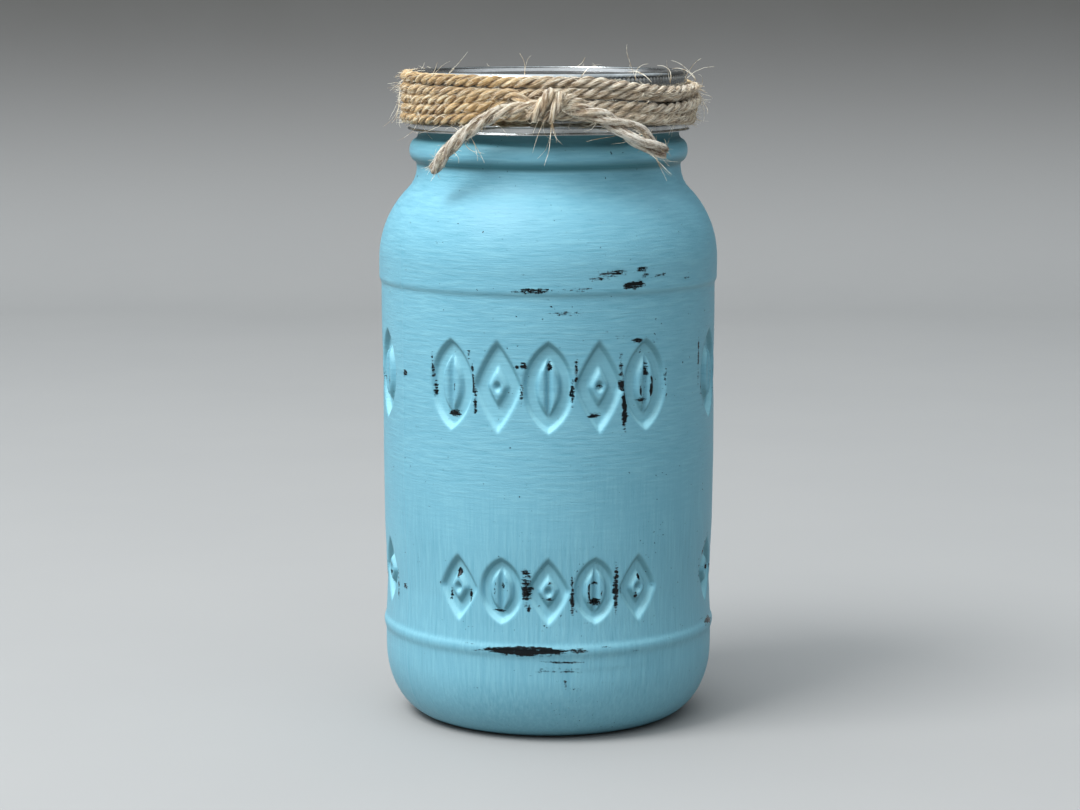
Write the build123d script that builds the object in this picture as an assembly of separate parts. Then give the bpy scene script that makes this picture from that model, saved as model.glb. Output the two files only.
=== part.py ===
"""Mason jar lantern: a painted, embossed glass jar closed by a two-piece screw lid, with jute
twine tied round the band and a battery tea light standing on the jar's floor.

Millimetres, +Z up. The origin is on the jar's axis in the plane that it stands on, and -Y is the
front, where the twine is knotted. Each function makes one sub-part, and the last lines write them.
"""

from build123d import *
import os
from math import cos, pi, radians, sin, sqrt, tan

# ---------------------------------------------------------------- jar
WALL = 2.8  # glass thickness
FLOOR_Z = 6.5  # top of the glass floor
PUNT_HEIGHT = 3.2  # push-up in the middle of the base
REST_INNER_R = 28.5  # the flat ring that the jar stands on
REST_OUTER_R = 31.0
HEEL_R, HEEL_TOP_Z = 43.5, 18.0
LEDGE_R, LEDGE_Z = 44.1, 25.4  # rib that ends the label panel below
PANEL = [(43.55, 26.8), (43.3, 31.0), (43.2, 37.0), (43.75, 52.0),
         (43.95, 70.0), (43.95, 92.0), (44.2, 108.0), (44.2, 115.6)]
SHOULDER_R, SHOULDER_Z = 44.68, 117.0  # overhanging edge that ends the panel above
SHOULDER_ARC_Z = 122.0
SHOULDER_ARC_R, NECK_ARC_R = 26.0, 8.2
SHOULDER_TURN = 44.6  # degrees that each of those two arcs turns
NECK_R, NECK_Z = 34.8, 146.0
COLLAR_R, COLLAR_Z = 36.65, 150.4  # the bead under the lid
FINISH_R = 34.3  # root of the glass thread
MOUTH_R = 30.3
RIM_Z = 169.9

# ---------------------------------------------------------------- screw thread, 5 turns per inch
PITCH = 5.08
THREAD_TURNS = 1.2
GLASS_CREST_R, BAND_CREST_R = 35.45, 34.65
THREAD_ROOT_WIDTH, THREAD_CREST_WIDTH = 3.0, 1.2
BAND_THREAD_ROOT_WIDTH, BAND_THREAD_CREST_WIDTH = 2.6, 0.9
GLASS_THREAD_Z = 160.3
THREAD_DROP = 1.83  # the band's thread hangs this far under the glass thread
THREAD_SUNK = 0.25  # depth that a thread's root goes into its wall

# ---------------------------------------------------------------- two-piece lid
LID_SHEET = 0.35
GASKET = 0.6
LID_R = 34.2
LID_STEP_R, LID_PANEL_R, LID_STEP_DEPTH = 29.7, 28.7, 0.8
BAND_SHEET = 0.4
BAND_HOLE_R = 30.4
BAND_R = 36.3
BAND_CORNER = 1.0
BEAD_R, BEAD_TOP_Z, BEAD_BOTTOM_Z = 37.0, 158.6, 156.3
HEM_R, HEM_Z = 37.1, 155.7

# ---------------------------------------------------------------- jute twine
TWINE = 2.8  # diameter
WRAP_INNER_R, WRAP_OUTER_R = BAND_R + 0.05, 39.2
WRAP_BOTTOM_Z, WRAP_TOP_Z = 158.75, 170.55
KNOT_X, KNOT_Y, KNOT_Z = 1.0, -40.9, 163.0
KNOT_RADIUS, KNOT_LENGTH = 2.9, 10.0
# Each tail leaves the knot's end and droops outside the collar, clear of the glass.
TAIL_LEFT = [(-4.1, -41.3, 163.3), (-11.1, -40.4, 162.6), (-17.6, -38.6, 159.1),
             (-22.6, -36.3, 155.0), (-26.5, -33.7, 150.8), (-29.1, -31.4, 146.8)]
TAIL_RIGHT = [(6.1, -41.2, 162.9), (12.3, -40.5, 161.4), (18.1, -38.7, 158.3),
              (23.4, -36.4, 155.0), (29.3, -31.9, 151.2)]

# ---------------------------------------------------------------- moulded ornament on the panel
RELIEF = 1.1  # depth that the ornament is sunk into the panel
SKIN_OUT = 1.5  # how far the cutting skin stands out of the panel
INSIDE_R = 40.0  # any radius under the panel's, where each motif's prism starts
UPPER_ROW_Z, UPPER_SIZE, UPPER_STEP, UPPER_STROKE = 92.9, (12.4, 22.5), 17.16, 3.2
LOWER_ROW_Z, LOWER_SIZE, LOWER_STEP, LOWER_STROKE = 40.4, (10.8, 16.4), 16.1, 2.4
MIDRIB = 1.3
GROUPS = [(0, 5), (90, 3), (180, 5), (270, 3)]  # middle of each group in degrees, and its motifs

# ---------------------------------------------------------------- battery tea light
LIGHT_Z = FLOOR_Z + 0.02
CUP_R, CUP_TOP_R, CUP_WALL = 19.0, 18.6, 1.2
CUP_TOP_Z, DISH_Z = 16.5, 14.8
DECK = 1.2  # thickness of the cup's top
FLAME_HOLE_R = 5.0
FLAME_STEM_R, FLAME_FLANGE_R, FLAME_WIDE_R, FLAME_TIP_Z = 4.8, 6.3, 5.9, 36.0
FLAME_WALL = 1.0
PLATE_R, PLATE_BOTTOM, PLATE_TOP = 17.6, 0.8, 2.6
CELL_X, CELL_Z, CELL_R, CELL_THICK = -3.6, 2.75, 10.0, 3.2
WELL_INNER_R, WELL_OUTER_R, WELL_TOP = 10.3, 11.3, 6.0
DOOR_R, DOOR_OPENING_R = 10.4, 10.6
DOOR_BOTTOM, DOOR_TOP = 0.9, 2.4
EAR_X, EAR_R, EAR_BOTTOM, EAR_TOP = -15.6, 1.7, 1.0, 1.75
DOOR_SCREW_HEAD_R, DOOR_SCREW_SHANK_R = 1.5, 0.7
SCREW_Y, SCREW_SHANK_R, SCREW_HEAD_R, SCREW_GAP = 14.4, 1.0, 1.8, 0.1
BOSS_R = 2.4
BOARD_X, BOARD_SIZE, BOARD_BOTTOM = 3.0, (20.0, 21.8, 1.0), 8.0
BOARD_CORNER_R = 16.4  # the board's corners are cut to a circle that clears the cup
POST_X, POST_Y, POST_R = 12.0, 7.0, 0.9  # two posts that carry the board beside the switch
LEAD_SPACING = 1.27
HOLE_R = 0.45  # in the board, for the square leads and pins
PIN = 0.5
LED_R, LED_FLANGE_R, LED_BOTTOM, LED_TOP = 2.5, 2.9, 10.0, 18.6
SWITCH_X, SWITCH_SIZE = 12.6, (3.6, 8.0, 3.2)
SWITCH_PINS = [(SWITCH_X - 1.2, y) for y in (-1.54, 1.0, 3.54)]
LEVER_TRAVEL = 2.0


def turned(*lines):
    """The solid that a closed outline in X and Z makes when it is turned about Z."""
    edges = [edge for line in lines for edge in line.edges()]
    return revolve(Plane.XZ * make_face(edges), Axis.Z)


def outline(*points):
    return Polyline(*points, close=True)


def ring(outer, inner, bottom, top, x=0.0, y=0.0):
    """A plain ring or, with an inner radius of 0, a plain disc."""
    made = Cylinder(outer, top - bottom, align=(Align.CENTER, Align.CENTER, Align.MIN))
    if inner:
        made -= Cylinder(inner, top - bottom, align=(Align.CENTER, Align.CENTER, Align.MIN))
    return Pos(x, y, bottom) * made


def block(x, y, bottom, size):
    return Pos(x, y, bottom) * Box(*size, align=(Align.CENTER, Align.CENTER, Align.MIN))


def thread(root_r, crest_r, root_width, crest_width, bottom_z):
    """A helical ridge of right-hand thread, from its root radius to its crest."""
    profile = outline((root_r, -root_width / 2), (crest_r, -crest_width / 2),
                      (crest_r, crest_width / 2), (root_r, root_width / 2))
    helix = Helix(pitch=PITCH, height=PITCH * THREAD_TURNS, radius=root_r)
    return Pos(0, 0, bottom_z) * sweep(Plane.XZ * make_face(profile), path=helix, is_frenet=True)


def panel_line(offset=0.0):
    """The slightly waisted wall between the jar's two ledges."""
    return Spline(*[(r + offset, z) for r, z in PANEL])


def jar_blank():
    """The jar without its thread or ornament."""
    turn = radians(SHOULDER_TURN)
    arc_x = SHOULDER_R - SHOULDER_ARC_R
    neck_x = NECK_R + NECK_ARC_R

    def on_shoulder(radius, angle):
        return (arc_x + radius * cos(angle), SHOULDER_ARC_Z + radius * sin(angle))

    def on_neck(radius, angle):
        return (neck_x - radius * cos(angle), NECK_Z - radius * sin(angle))

    inner_shoulder = SHOULDER_ARC_R - WALL
    inner_neck = NECK_ARC_R + WALL
    inner_r = SHOULDER_R - WALL
    inner_heel_x, inner_heel_z = REST_OUTER_R - 2.0, 20.0
    low_r = inner_r - 1.5
    heel_width, heel_height = low_r - inner_heel_x, inner_heel_z - FLOOR_Z
    outer = [
        ThreePointArc((0, PUNT_HEIGHT), (15.0, 2.35), (REST_INNER_R, 0)),
        Line((REST_INNER_R, 0), (REST_OUTER_R, 0)),
        EllipticalCenterArc((REST_OUTER_R, HEEL_TOP_Z), HEEL_R - REST_OUTER_R, HEEL_TOP_Z, 270,
                            arc_size=90),
        Line((HEEL_R, HEEL_TOP_Z), (HEEL_R + 0.1, LEDGE_Z - 2.6)),
        Line((HEEL_R + 0.1, LEDGE_Z - 2.6), (LEDGE_R, LEDGE_Z - 0.9)),
        Line((LEDGE_R, LEDGE_Z - 0.9), (LEDGE_R, LEDGE_Z)),
        Line((LEDGE_R, LEDGE_Z), PANEL[0]),
        panel_line(),
        Line(PANEL[-1], (SHOULDER_R, SHOULDER_Z)),
        Line((SHOULDER_R, SHOULDER_Z), (SHOULDER_R, SHOULDER_ARC_Z)),
        ThreePointArc((SHOULDER_R, SHOULDER_ARC_Z), on_shoulder(SHOULDER_ARC_R, turn / 2),
                      on_shoulder(SHOULDER_ARC_R, turn)),
        Line(on_shoulder(SHOULDER_ARC_R, turn), on_neck(NECK_ARC_R, turn)),
        ThreePointArc(on_neck(NECK_ARC_R, turn), on_neck(NECK_ARC_R, turn / 2), (NECK_R, NECK_Z)),
        Line((NECK_R, NECK_Z), (NECK_R, COLLAR_Z - 3.0)),
        ThreePointArc((NECK_R, COLLAR_Z - 3.0), (COLLAR_R, COLLAR_Z), (NECK_R, COLLAR_Z + 3.0)),
        Line((NECK_R, COLLAR_Z + 3.0), (FINISH_R, COLLAR_Z + 4.0)),
        Line((FINISH_R, COLLAR_Z + 4.0), (FINISH_R, RIM_Z - 2.4)),
        ThreePointArc((FINISH_R, RIM_Z - 2.4), (33.7, RIM_Z - 0.7), (32.4, RIM_Z)),
        Line((32.4, RIM_Z), (31.2, RIM_Z)),
    ]
    inner = [
        ThreePointArc((31.2, RIM_Z), (30.56, RIM_Z - 0.26), (MOUTH_R, RIM_Z - 0.9)),
        Line((MOUTH_R, RIM_Z - 0.9), (MOUTH_R, NECK_Z + 4.0)),
        Line((MOUTH_R, NECK_Z + 4.0), on_neck(inner_neck, 0)),
        ThreePointArc(on_neck(inner_neck, 0), on_neck(inner_neck, turn / 2), on_neck(inner_neck, turn)),
        Line(on_neck(inner_neck, turn), on_shoulder(inner_shoulder, turn)),
        ThreePointArc(on_shoulder(inner_shoulder, turn), on_shoulder(inner_shoulder, turn / 2),
                      (inner_r, SHOULDER_ARC_Z)),
        Line((inner_r, SHOULDER_ARC_Z), (inner_r - 1.2, 96.0)),
        Line((inner_r - 1.2, 96.0), (low_r, inner_heel_z)),
        EllipticalCenterArc((inner_heel_x, inner_heel_z), heel_width, heel_height, 270, arc_size=90),
        Line((inner_heel_x, FLOOR_Z), (0, FLOOR_Z)),
        Line((0, FLOOR_Z), (0, PUNT_HEIGHT)),
    ]
    return turned(*outer, *inner)


def pointed_oval(width, height):
    """A leaf's outline: two arcs that meet in a point above and below."""
    right = ThreePointArc((0, -height / 2), (width / 2, 0), (0, height / 2))
    left = ThreePointArc((0, height / 2), (-width / 2, 0), (0, -height / 2))
    return make_face(Wire([right, left]))


def leaf(width, height, stroke):
    """A leaf in outline with its midrib."""
    inner = pointed_oval(width - 2 * stroke, height - 2.9 * stroke)
    return pointed_oval(width, height) - inner + Rectangle(MIDRIB, height - 2 * stroke)


def diamond(width, height, stroke):
    """A diamond in outline with a small one inside it."""

    def rhomb(scale):
        x, y = width / 2 * scale, height / 2 * scale
        return make_face(outline((0, -y), (x, 0), (0, y), (-x, 0)))

    inside = 1 - 2 * stroke * sqrt(1 / width**2 + 1 / height**2)
    return rhomb(1) - rhomb(inside) + rhomb(0.16)


def ornament():
    """Two rows of leaves and diamonds to sink into the panel, in four groups round the jar."""
    top, bottom = PANEL[-1], PANEL[0]
    skin = turned(panel_line(SKIN_OUT),
                  Line((top[0] + SKIN_OUT, top[1]), (top[0] - RELIEF, top[1])),
                  panel_line(-RELIEF),
                  Line((bottom[0] - RELIEF, bottom[1]), (bottom[0] + SKIN_OUT, bottom[1])))
    rows = [(UPPER_ROW_Z, (*UPPER_SIZE, UPPER_STROKE), UPPER_STEP, (leaf, diamond)),
            (LOWER_ROW_Z, (*LOWER_SIZE, LOWER_STROKE), LOWER_STEP, (diamond, leaf))]
    pieces = []
    for row_z, size, step, shapes in rows:
        faces = [shape(*size) for shape in shapes]
        for middle, count in GROUPS:
            for i in range(count):
                turn = radians(middle + step * (i - (count - 1) / 2))
                out = (sin(turn), -cos(turn), 0)
                start = (INSIDE_R * out[0], INSIDE_R * out[1], row_z)
                plane = Plane(origin=start, x_dir=(cos(turn), sin(turn), 0), z_dir=out)
                prism = extrude(plane * faces[i % 2], amount=SHOULDER_R + 4 - INSIDE_R)
                pieces += (prism & skin).solids()
    return pieces


def jar_glass():
    glass = jar_blank() + thread(FINISH_R - THREAD_SUNK, GLASS_CREST_R, THREAD_ROOT_WIDTH,
                                 THREAD_CREST_WIDTH, GLASS_THREAD_Z)
    return glass - ornament()


def lid_gasket():
    """The sealing ring under the edge of the flat lid, pressed on the glass rim."""
    top = RIM_Z + GASKET
    return turned(outline((31.0, RIM_Z), (32.6, RIM_Z), (33.7, RIM_Z + 0.35), (33.7, top), (31.0, top)))


def lid_disc():
    """The flat lid: a sheet whose middle steps down into the mouth, with its edge turned down."""
    under = RIM_Z + GASKET
    top = under + LID_SHEET
    low = LID_STEP_DEPTH
    return turned(outline(
        (0, under - low + 0.3), (19.6, under - low + 0.3), (20.4, under - low), (LID_PANEL_R, under - low),
        (LID_STEP_R, under), (LID_R - LID_SHEET, under), (LID_R - LID_SHEET, under - 0.4),
        (LID_R, under - 0.4), (LID_R, top), (LID_STEP_R - 0.2, top), (LID_PANEL_R - 0.2, top - low),
        (20.6, top - low), (19.8, top - low + 0.3), (0, top - low + 0.3)))


def screw_band():
    """The ring that clamps the flat lid: flange, skirt, rolled bead, hem and inner thread."""
    flange_z = RIM_Z + GASKET + LID_SHEET
    corner = BAND_R - BAND_CORNER
    diagonal = BAND_CORNER * (1 - cos(pi / 4))
    inside_r = BAND_R - BAND_SHEET
    inside_diagonal = diagonal + BAND_SHEET * cos(pi / 4)
    top = flange_z + BAND_SHEET
    bead_z = (BEAD_TOP_Z + BEAD_BOTTOM_Z) / 2
    sheet = turned(
        Line((BAND_HOLE_R, flange_z), (BAND_HOLE_R, top)),
        Line((BAND_HOLE_R, top), (corner, top)),
        ThreePointArc((corner, top), (BAND_R - diagonal, top - diagonal), (BAND_R, top - BAND_CORNER)),
        Line((BAND_R, top - BAND_CORNER), (BAND_R, BEAD_TOP_Z)),
        ThreePointArc((BAND_R, BEAD_TOP_Z), (BEAD_R, bead_z), (BAND_R + 0.2, BEAD_BOTTOM_Z)),
        Line((BAND_R + 0.2, BEAD_BOTTOM_Z), (HEM_R, BEAD_BOTTOM_Z - 0.2)),
        Line((HEM_R, BEAD_BOTTOM_Z - 0.2), (HEM_R, HEM_Z)),
        Line((HEM_R, HEM_Z), (HEM_R - BAND_SHEET, HEM_Z)),
        Line((HEM_R - BAND_SHEET, HEM_Z), (inside_r + 0.1, BEAD_BOTTOM_Z)),
        ThreePointArc((inside_r + 0.1, BEAD_BOTTOM_Z), (BEAD_R - BAND_SHEET, bead_z),
                      (inside_r, BEAD_TOP_Z)),
        Line((inside_r, BEAD_TOP_Z), (inside_r, top - BAND_CORNER)),
        ThreePointArc((inside_r, top - BAND_CORNER), (BAND_R - inside_diagonal, top - inside_diagonal),
                      (corner, flange_z)),
        Line((corner, flange_z), (BAND_HOLE_R, flange_z)))
    return sheet + thread(inside_r + THREAD_SUNK, BAND_CREST_R, BAND_THREAD_ROOT_WIDTH,
                          BAND_THREAD_CREST_WIDTH, GLASS_THREAD_Z - THREAD_DROP)


def twine_wrap():
    """The outer shape of the five turns of twine wound round the band."""
    return ring(WRAP_OUTER_R, WRAP_INNER_R, WRAP_BOTTOM_Z, WRAP_TOP_Z)


def knot_blank():
    bar = Rot(0, 90, 0) * Cylinder(KNOT_RADIUS, KNOT_LENGTH - KNOT_RADIUS)
    ends = [Pos(side * (KNOT_LENGTH - KNOT_RADIUS) / 2, 0, 0) * Sphere(KNOT_RADIUS) for side in (-1, 1)]
    return Pos(KNOT_X, KNOT_Y, KNOT_Z) * (bar + ends)


def twine_knot():
    """The outer shape of the knot that ties the twine, seated on the turns under it."""
    seat = ring(WRAP_OUTER_R + 0.01, 0, 0, RIM_Z + 10)
    return knot_blank() - seat


def tail(points):
    """A loose end of the twine: straight runs joined by arcs as large as the runs allow."""
    runs = [Vector(b) - Vector(a) for a, b in zip(points, points[1:])]
    radii = []
    for a, b in zip(runs, runs[1:]):
        radii.append(0.45 * min(a.length, b.length) / tan(radians(a.get_angle(b)) / 2))
    path = FilletPolyline(*points, radius=radii)
    start = Plane(origin=path @ 0, z_dir=path % 0)
    made = sweep(start * Circle(TWINE / 2), path=path)
    print("tail radii", [round(radius, 1) for radius in radii], "length", round(path.length, 2))
    print("tail volume", round(made.volume, 1), "expected", round(pi * TWINE**2 / 4 * path.length, 1))
    return made - knot_blank()


def at_light(shape):
    return Pos(0, 0, LIGHT_Z) * shape


def tealight_cup():
    """The white outer cup: a dished top with a hole for the flame, and two screw bosses inside."""
    shell = turned(outline(
        (CUP_R - CUP_WALL, 0), (CUP_R, 0), (CUP_TOP_R, CUP_TOP_Z - 0.6), (CUP_TOP_R - 0.6, CUP_TOP_Z),
        (CUP_TOP_R - 1.4, CUP_TOP_Z), (CUP_TOP_R - 2.6, DISH_Z), (FLAME_HOLE_R + 1.6, DISH_Z),
        (FLAME_HOLE_R + 0.8, DISH_Z + 0.6), (FLAME_HOLE_R, DISH_Z + 0.6), (FLAME_HOLE_R, DISH_Z - DECK),
        (CUP_R - CUP_WALL - 0.3, DISH_Z - DECK)))
    for side in (-1, 1):
        boss = ring(BOSS_R, SCREW_SHANK_R + 0.02, PLATE_TOP + 0.02, DISH_Z - DECK, y=side * SCREW_Y)
        shell += boss
    return shell


def tealight_flame():
    """The frosted flame: a hollow pointed bulb on a stem, held by its flange under the cup's top."""
    under = DISH_Z - DECK - 0.02
    flange = under - 1.0
    wide_z, inner_r = 23.0, 3.6
    inner_wide_r = FLAME_WIDE_R - FLAME_WALL - 0.4
    inner_tip = (0, FLAME_TIP_Z - 2.4)
    outer = [Line((inner_r, flange), (FLAME_FLANGE_R, flange)),
             Line((FLAME_FLANGE_R, flange), (FLAME_FLANGE_R, under)),
             Line((FLAME_FLANGE_R, under), (FLAME_STEM_R, under)),
             Line((FLAME_STEM_R, under), (FLAME_STEM_R, DISH_Z + 1.2)),
             Spline((FLAME_STEM_R, DISH_Z + 1.2), (FLAME_WIDE_R, wide_z), (3.1, 30.6), (0, FLAME_TIP_Z))]
    inner = [Spline(inner_tip, (2.4, 29.4), (inner_wide_r, wide_z), (inner_r, DISH_Z + 1.0)),
             Line((inner_r, DISH_Z + 1.0), (inner_r, flange))]
    return turned(*outer, Line((0, FLAME_TIP_Z), inner_tip), *inner)


def base_plate():
    """The plate that closes the cup below, with the battery's well, door opening and switch slot."""
    plate = ring(PLATE_R, 0, PLATE_BOTTOM, PLATE_TOP)
    plate += ring(WELL_OUTER_R, 0, PLATE_TOP, WELL_TOP, x=CELL_X)
    well_middle = (WELL_INNER_R + WELL_OUTER_R) / 2
    for side in (-1, 1):
        finger_y = side * (well_middle - 0.1)
        plate += block(CELL_X, finger_y, WELL_TOP, (3.0, 0.8, BOARD_BOTTOM - WELL_TOP))
        plate += ring(POST_R, 0, PLATE_TOP, BOARD_BOTTOM, x=POST_X, y=side * POST_Y)
    plate -= ring(DOOR_OPENING_R, 0, PLATE_BOTTOM, PLATE_TOP, x=CELL_X)
    plate -= ring(WELL_INNER_R, 0, PLATE_TOP, WELL_TOP, x=CELL_X)
    contact_gap = (2.4, 5.0, WELL_TOP - PLATE_TOP)
    plate -= block(CELL_X + WELL_OUTER_R - 0.6, 0, PLATE_TOP, contact_gap)
    lever_slot = (1.9, 2.6 + LEVER_TRAVEL, PLATE_TOP - PLATE_BOTTOM)
    plate -= block(SWITCH_X, LEVER_TRAVEL / 2, PLATE_BOTTOM, lever_slot)
    ear_seat = EAR_TOP - PLATE_BOTTOM
    plate -= ring(EAR_R + 0.1, 0, PLATE_BOTTOM, EAR_TOP, x=EAR_X)
    plate -= block(EAR_X + 2.2, 0, PLATE_BOTTOM, (4.4, 2 * EAR_R + 0.2, ear_seat))
    plate -= ring(DOOR_SCREW_SHANK_R, 0, PLATE_BOTTOM, PLATE_TOP, x=EAR_X)
    for side in (-1, 1):
        plate -= ring(SCREW_SHANK_R + SCREW_GAP, 0, PLATE_BOTTOM, PLATE_TOP, y=side * SCREW_Y)
        plate -= ring(SCREW_HEAD_R + SCREW_GAP, 0, PLATE_BOTTOM, PLATE_BOTTOM + 1.0, y=side * SCREW_Y)
    return plate


def base_screws():
    """The two screws that hold the plate to the cup's bosses, with crossed slots in their heads."""
    made = []
    for side in (-1, 1):
        head = ring(SCREW_HEAD_R, 0, PLATE_BOTTOM + 0.05, PLATE_BOTTOM + 1.0, y=side * SCREW_Y)
        screw = head + ring(SCREW_SHANK_R, 0, PLATE_BOTTOM + 1.0, 9.0, y=side * SCREW_Y)
        for size in ((2.2, 0.5, 0.5), (0.5, 2.2, 0.5)):
            screw -= block(0, side * SCREW_Y, PLATE_BOTTOM + 0.05, size)
        made.append(screw)
    return Compound([solid for screw in made for solid in screw.solids()])


def battery_door():
    """The round door under the cell, with an ear for its screw and a finger groove."""
    door = ring(DOOR_R, 0, DOOR_BOTTOM, DOOR_TOP, x=CELL_X)
    door += ring(EAR_R, 0, EAR_BOTTOM, EAR_TOP, x=EAR_X)
    door += block(EAR_X + 2.0, 0, EAR_BOTTOM, (4.0, 2 * EAR_R, EAR_TOP - EAR_BOTTOM))
    door -= ring(DOOR_SCREW_HEAD_R + SCREW_GAP, 0, DOOR_BOTTOM, EAR_BOTTOM, x=EAR_X)
    door -= ring(DOOR_SCREW_SHANK_R + SCREW_GAP, 0, EAR_BOTTOM, EAR_TOP, x=EAR_X)
    for x in (0.6, 3.0, 5.4):
        door -= block(CELL_X + x, 0, DOOR_BOTTOM, (0.8, 8.0, 0.5))
    return door


def door_screw():
    low = EAR_BOTTOM - 0.65
    screw = ring(DOOR_SCREW_HEAD_R, 0, low, EAR_BOTTOM, x=EAR_X)
    screw += ring(DOOR_SCREW_SHANK_R, 0, EAR_BOTTOM, PLATE_TOP - 0.05, x=EAR_X)
    return screw - block(EAR_X, 0, low, (2.0, 0.4, 0.3))


def coin_cell():
    """A flat lithium cell: a stepped can, positive outside and below, negative above."""
    cell = ring(CELL_R, 0, CELL_Z, CELL_Z + CELL_THICK - 0.3, x=CELL_X)
    return cell + ring(CELL_R - 1.1, 0, CELL_Z + CELL_THICK - 0.3, CELL_Z + CELL_THICK, x=CELL_X)


def positive_contact():
    """A bent strip that touches the cell's side and rises to the board."""
    side_x = CELL_X + CELL_R + 0.01
    strip = block(side_x + 0.15, 0, CELL_Z + 0.4, (0.3, 4.0, BOARD_BOTTOM - CELL_Z - 0.42))
    return strip + block(side_x + 0.65, 0, BOARD_BOTTOM - 0.32, (1.3, 4.0, 0.3))


def negative_contact():
    """A strip with a raised spring tongue that presses on the cell's upper face."""
    cell_top = CELL_Z + CELL_THICK + 0.01
    strip = block(CELL_X - 1.75, 0, cell_top, (5.4, 3.0, 0.3))
    strip += block(CELL_X + 0.8, 0, cell_top, (0.3, 3.0, BOARD_BOTTOM - cell_top - 0.02))
    return strip + block(CELL_X - 0.05, 0, BOARD_BOTTOM - 0.32, (2.0, 3.0, 0.3))


def circuit_board():
    top = BOARD_BOTTOM + BOARD_SIZE[2]
    board = block(BOARD_X, 0, BOARD_BOTTOM, BOARD_SIZE) & ring(BOARD_CORNER_R, 0, BOARD_BOTTOM, top)
    for x, y in [(-LEAD_SPACING, 0), (LEAD_SPACING, 0)] + SWITCH_PINS:
        board -= ring(HOLE_R, 0, BOARD_BOTTOM, top, x=x, y=y)
    return board


def flicker_chip():
    """The drop of resin over the chip that makes the light flicker."""
    dome = Pos(5.4, 0, 0) * (Sphere(3.0) & block(0, 0, 2.0, (6, 6, 2)))
    return Pos(0, 0, BOARD_BOTTOM + BOARD_SIZE[2] - 2.0 + 0.01) * dome


def led_lamp():
    bulb = ring(LED_R, 0, LED_BOTTOM + 1.0, LED_TOP - LED_R)
    bulb += Pos(0, 0, LED_TOP - LED_R) * Sphere(LED_R)
    return bulb + ring(LED_FLANGE_R, 0, LED_BOTTOM, LED_BOTTOM + 1.0)


def led_leads():
    low = BOARD_BOTTOM - 0.8
    size = (PIN, PIN, LED_BOTTOM - low - 0.01)
    legs = [block(side * LEAD_SPACING, 0, low, size) for side in (-1, 1)]
    return Compound([solid for leg in legs for solid in leg.solids()])


def switch_housing():
    """The slide switch's metal case, open below for its lever."""
    case = block(SWITCH_X, LEVER_TRAVEL / 2, PLATE_TOP + 0.02, SWITCH_SIZE)
    return case - block(SWITCH_X, LEVER_TRAVEL / 2, PLATE_TOP, (2.4, 6.6, SWITCH_SIZE[2] - 0.6))


def switch_pins():
    """The three pins that rise from the switch through the board."""
    low = PLATE_TOP + 0.02 + SWITCH_SIZE[2] + 0.01
    size = (PIN, PIN, BOARD_BOTTOM + BOARD_SIZE[2] + 0.5 - low)
    pins = [block(x, y, low, size) for x, y in SWITCH_PINS]
    return Compound([solid for pin in pins for solid in pin.solids()])


def switch_lever():
    """The sliding knob, reached from under the tea light."""
    low, seat = 0.4, 3.0
    knob = block(SWITCH_X, 0, low, (1.6, 2.2, seat - low + 0.2))
    knob += block(SWITCH_X, 0, seat, (2.0, 3.0, 1.6))
    return knob - block(SWITCH_X, 0, low, (1.6, 0.4, 0.3))


PARTS = {
    "jar_glass": jar_glass,
    "lid_gasket": lid_gasket,
    "lid_disc": lid_disc,
    "screw_band": screw_band,
    "twine_wrap": twine_wrap,
    "twine_knot": twine_knot,
    "twine_tail_left": lambda: tail(TAIL_LEFT),
    "twine_tail_right": lambda: tail(TAIL_RIGHT),
}
LIGHT_PARTS = {
    "tealight_cup": tealight_cup,
    "tealight_flame": tealight_flame,
    "base_plate": base_plate,
    "base_screws": base_screws,
    "battery_door": battery_door,
    "door_screw": door_screw,
    "coin_cell": coin_cell,
    "positive_contact": positive_contact,
    "negative_contact": negative_contact,
    "circuit_board": circuit_board,
    "flicker_chip": flicker_chip,
    "led_lamp": led_lamp,
    "led_leads": led_leads,
    "switch_housing": switch_housing,
    "switch_pins": switch_pins,
    "switch_lever": switch_lever,
}

os.makedirs("parts", exist_ok=True)
for name, make in PARTS.items():
    export_step(make(), f"parts/{name}.step")
for name, make in LIGHT_PARTS.items():
    export_step(at_light(make()), f"parts/{name}.step")
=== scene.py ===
"""The looks of the mason jar lantern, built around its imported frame.

Everything is in metres in the frame's own axes: +Z up, the jar's axis on Z and -Y the front.
Sizes in millimetres are multiplied by MM.
"""

import math
import random

import bpy
import numpy as np
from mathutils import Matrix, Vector


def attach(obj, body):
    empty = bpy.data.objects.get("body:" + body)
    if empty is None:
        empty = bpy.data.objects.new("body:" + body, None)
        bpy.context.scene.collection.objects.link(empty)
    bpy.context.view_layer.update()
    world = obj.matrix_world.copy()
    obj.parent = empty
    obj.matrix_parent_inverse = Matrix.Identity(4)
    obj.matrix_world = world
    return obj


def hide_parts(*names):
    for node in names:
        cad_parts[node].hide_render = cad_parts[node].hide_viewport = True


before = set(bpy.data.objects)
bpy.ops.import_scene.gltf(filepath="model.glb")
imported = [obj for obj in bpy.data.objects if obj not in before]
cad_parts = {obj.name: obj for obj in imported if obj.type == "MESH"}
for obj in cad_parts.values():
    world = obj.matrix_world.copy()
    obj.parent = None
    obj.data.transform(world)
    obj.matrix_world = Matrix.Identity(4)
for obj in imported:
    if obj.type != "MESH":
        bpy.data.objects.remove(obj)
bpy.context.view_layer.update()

MM = 0.001
rng = np.random.default_rng(20)
dice = random.Random(7)

# ---- camera
CAMERA_PLACE = (0.0, -0.7794, 0.1946)
CAMERA_PITCH, CAMERA_YAW = 8.2, 0.165  # degrees down and to the left
LENS = 98.33

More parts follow.
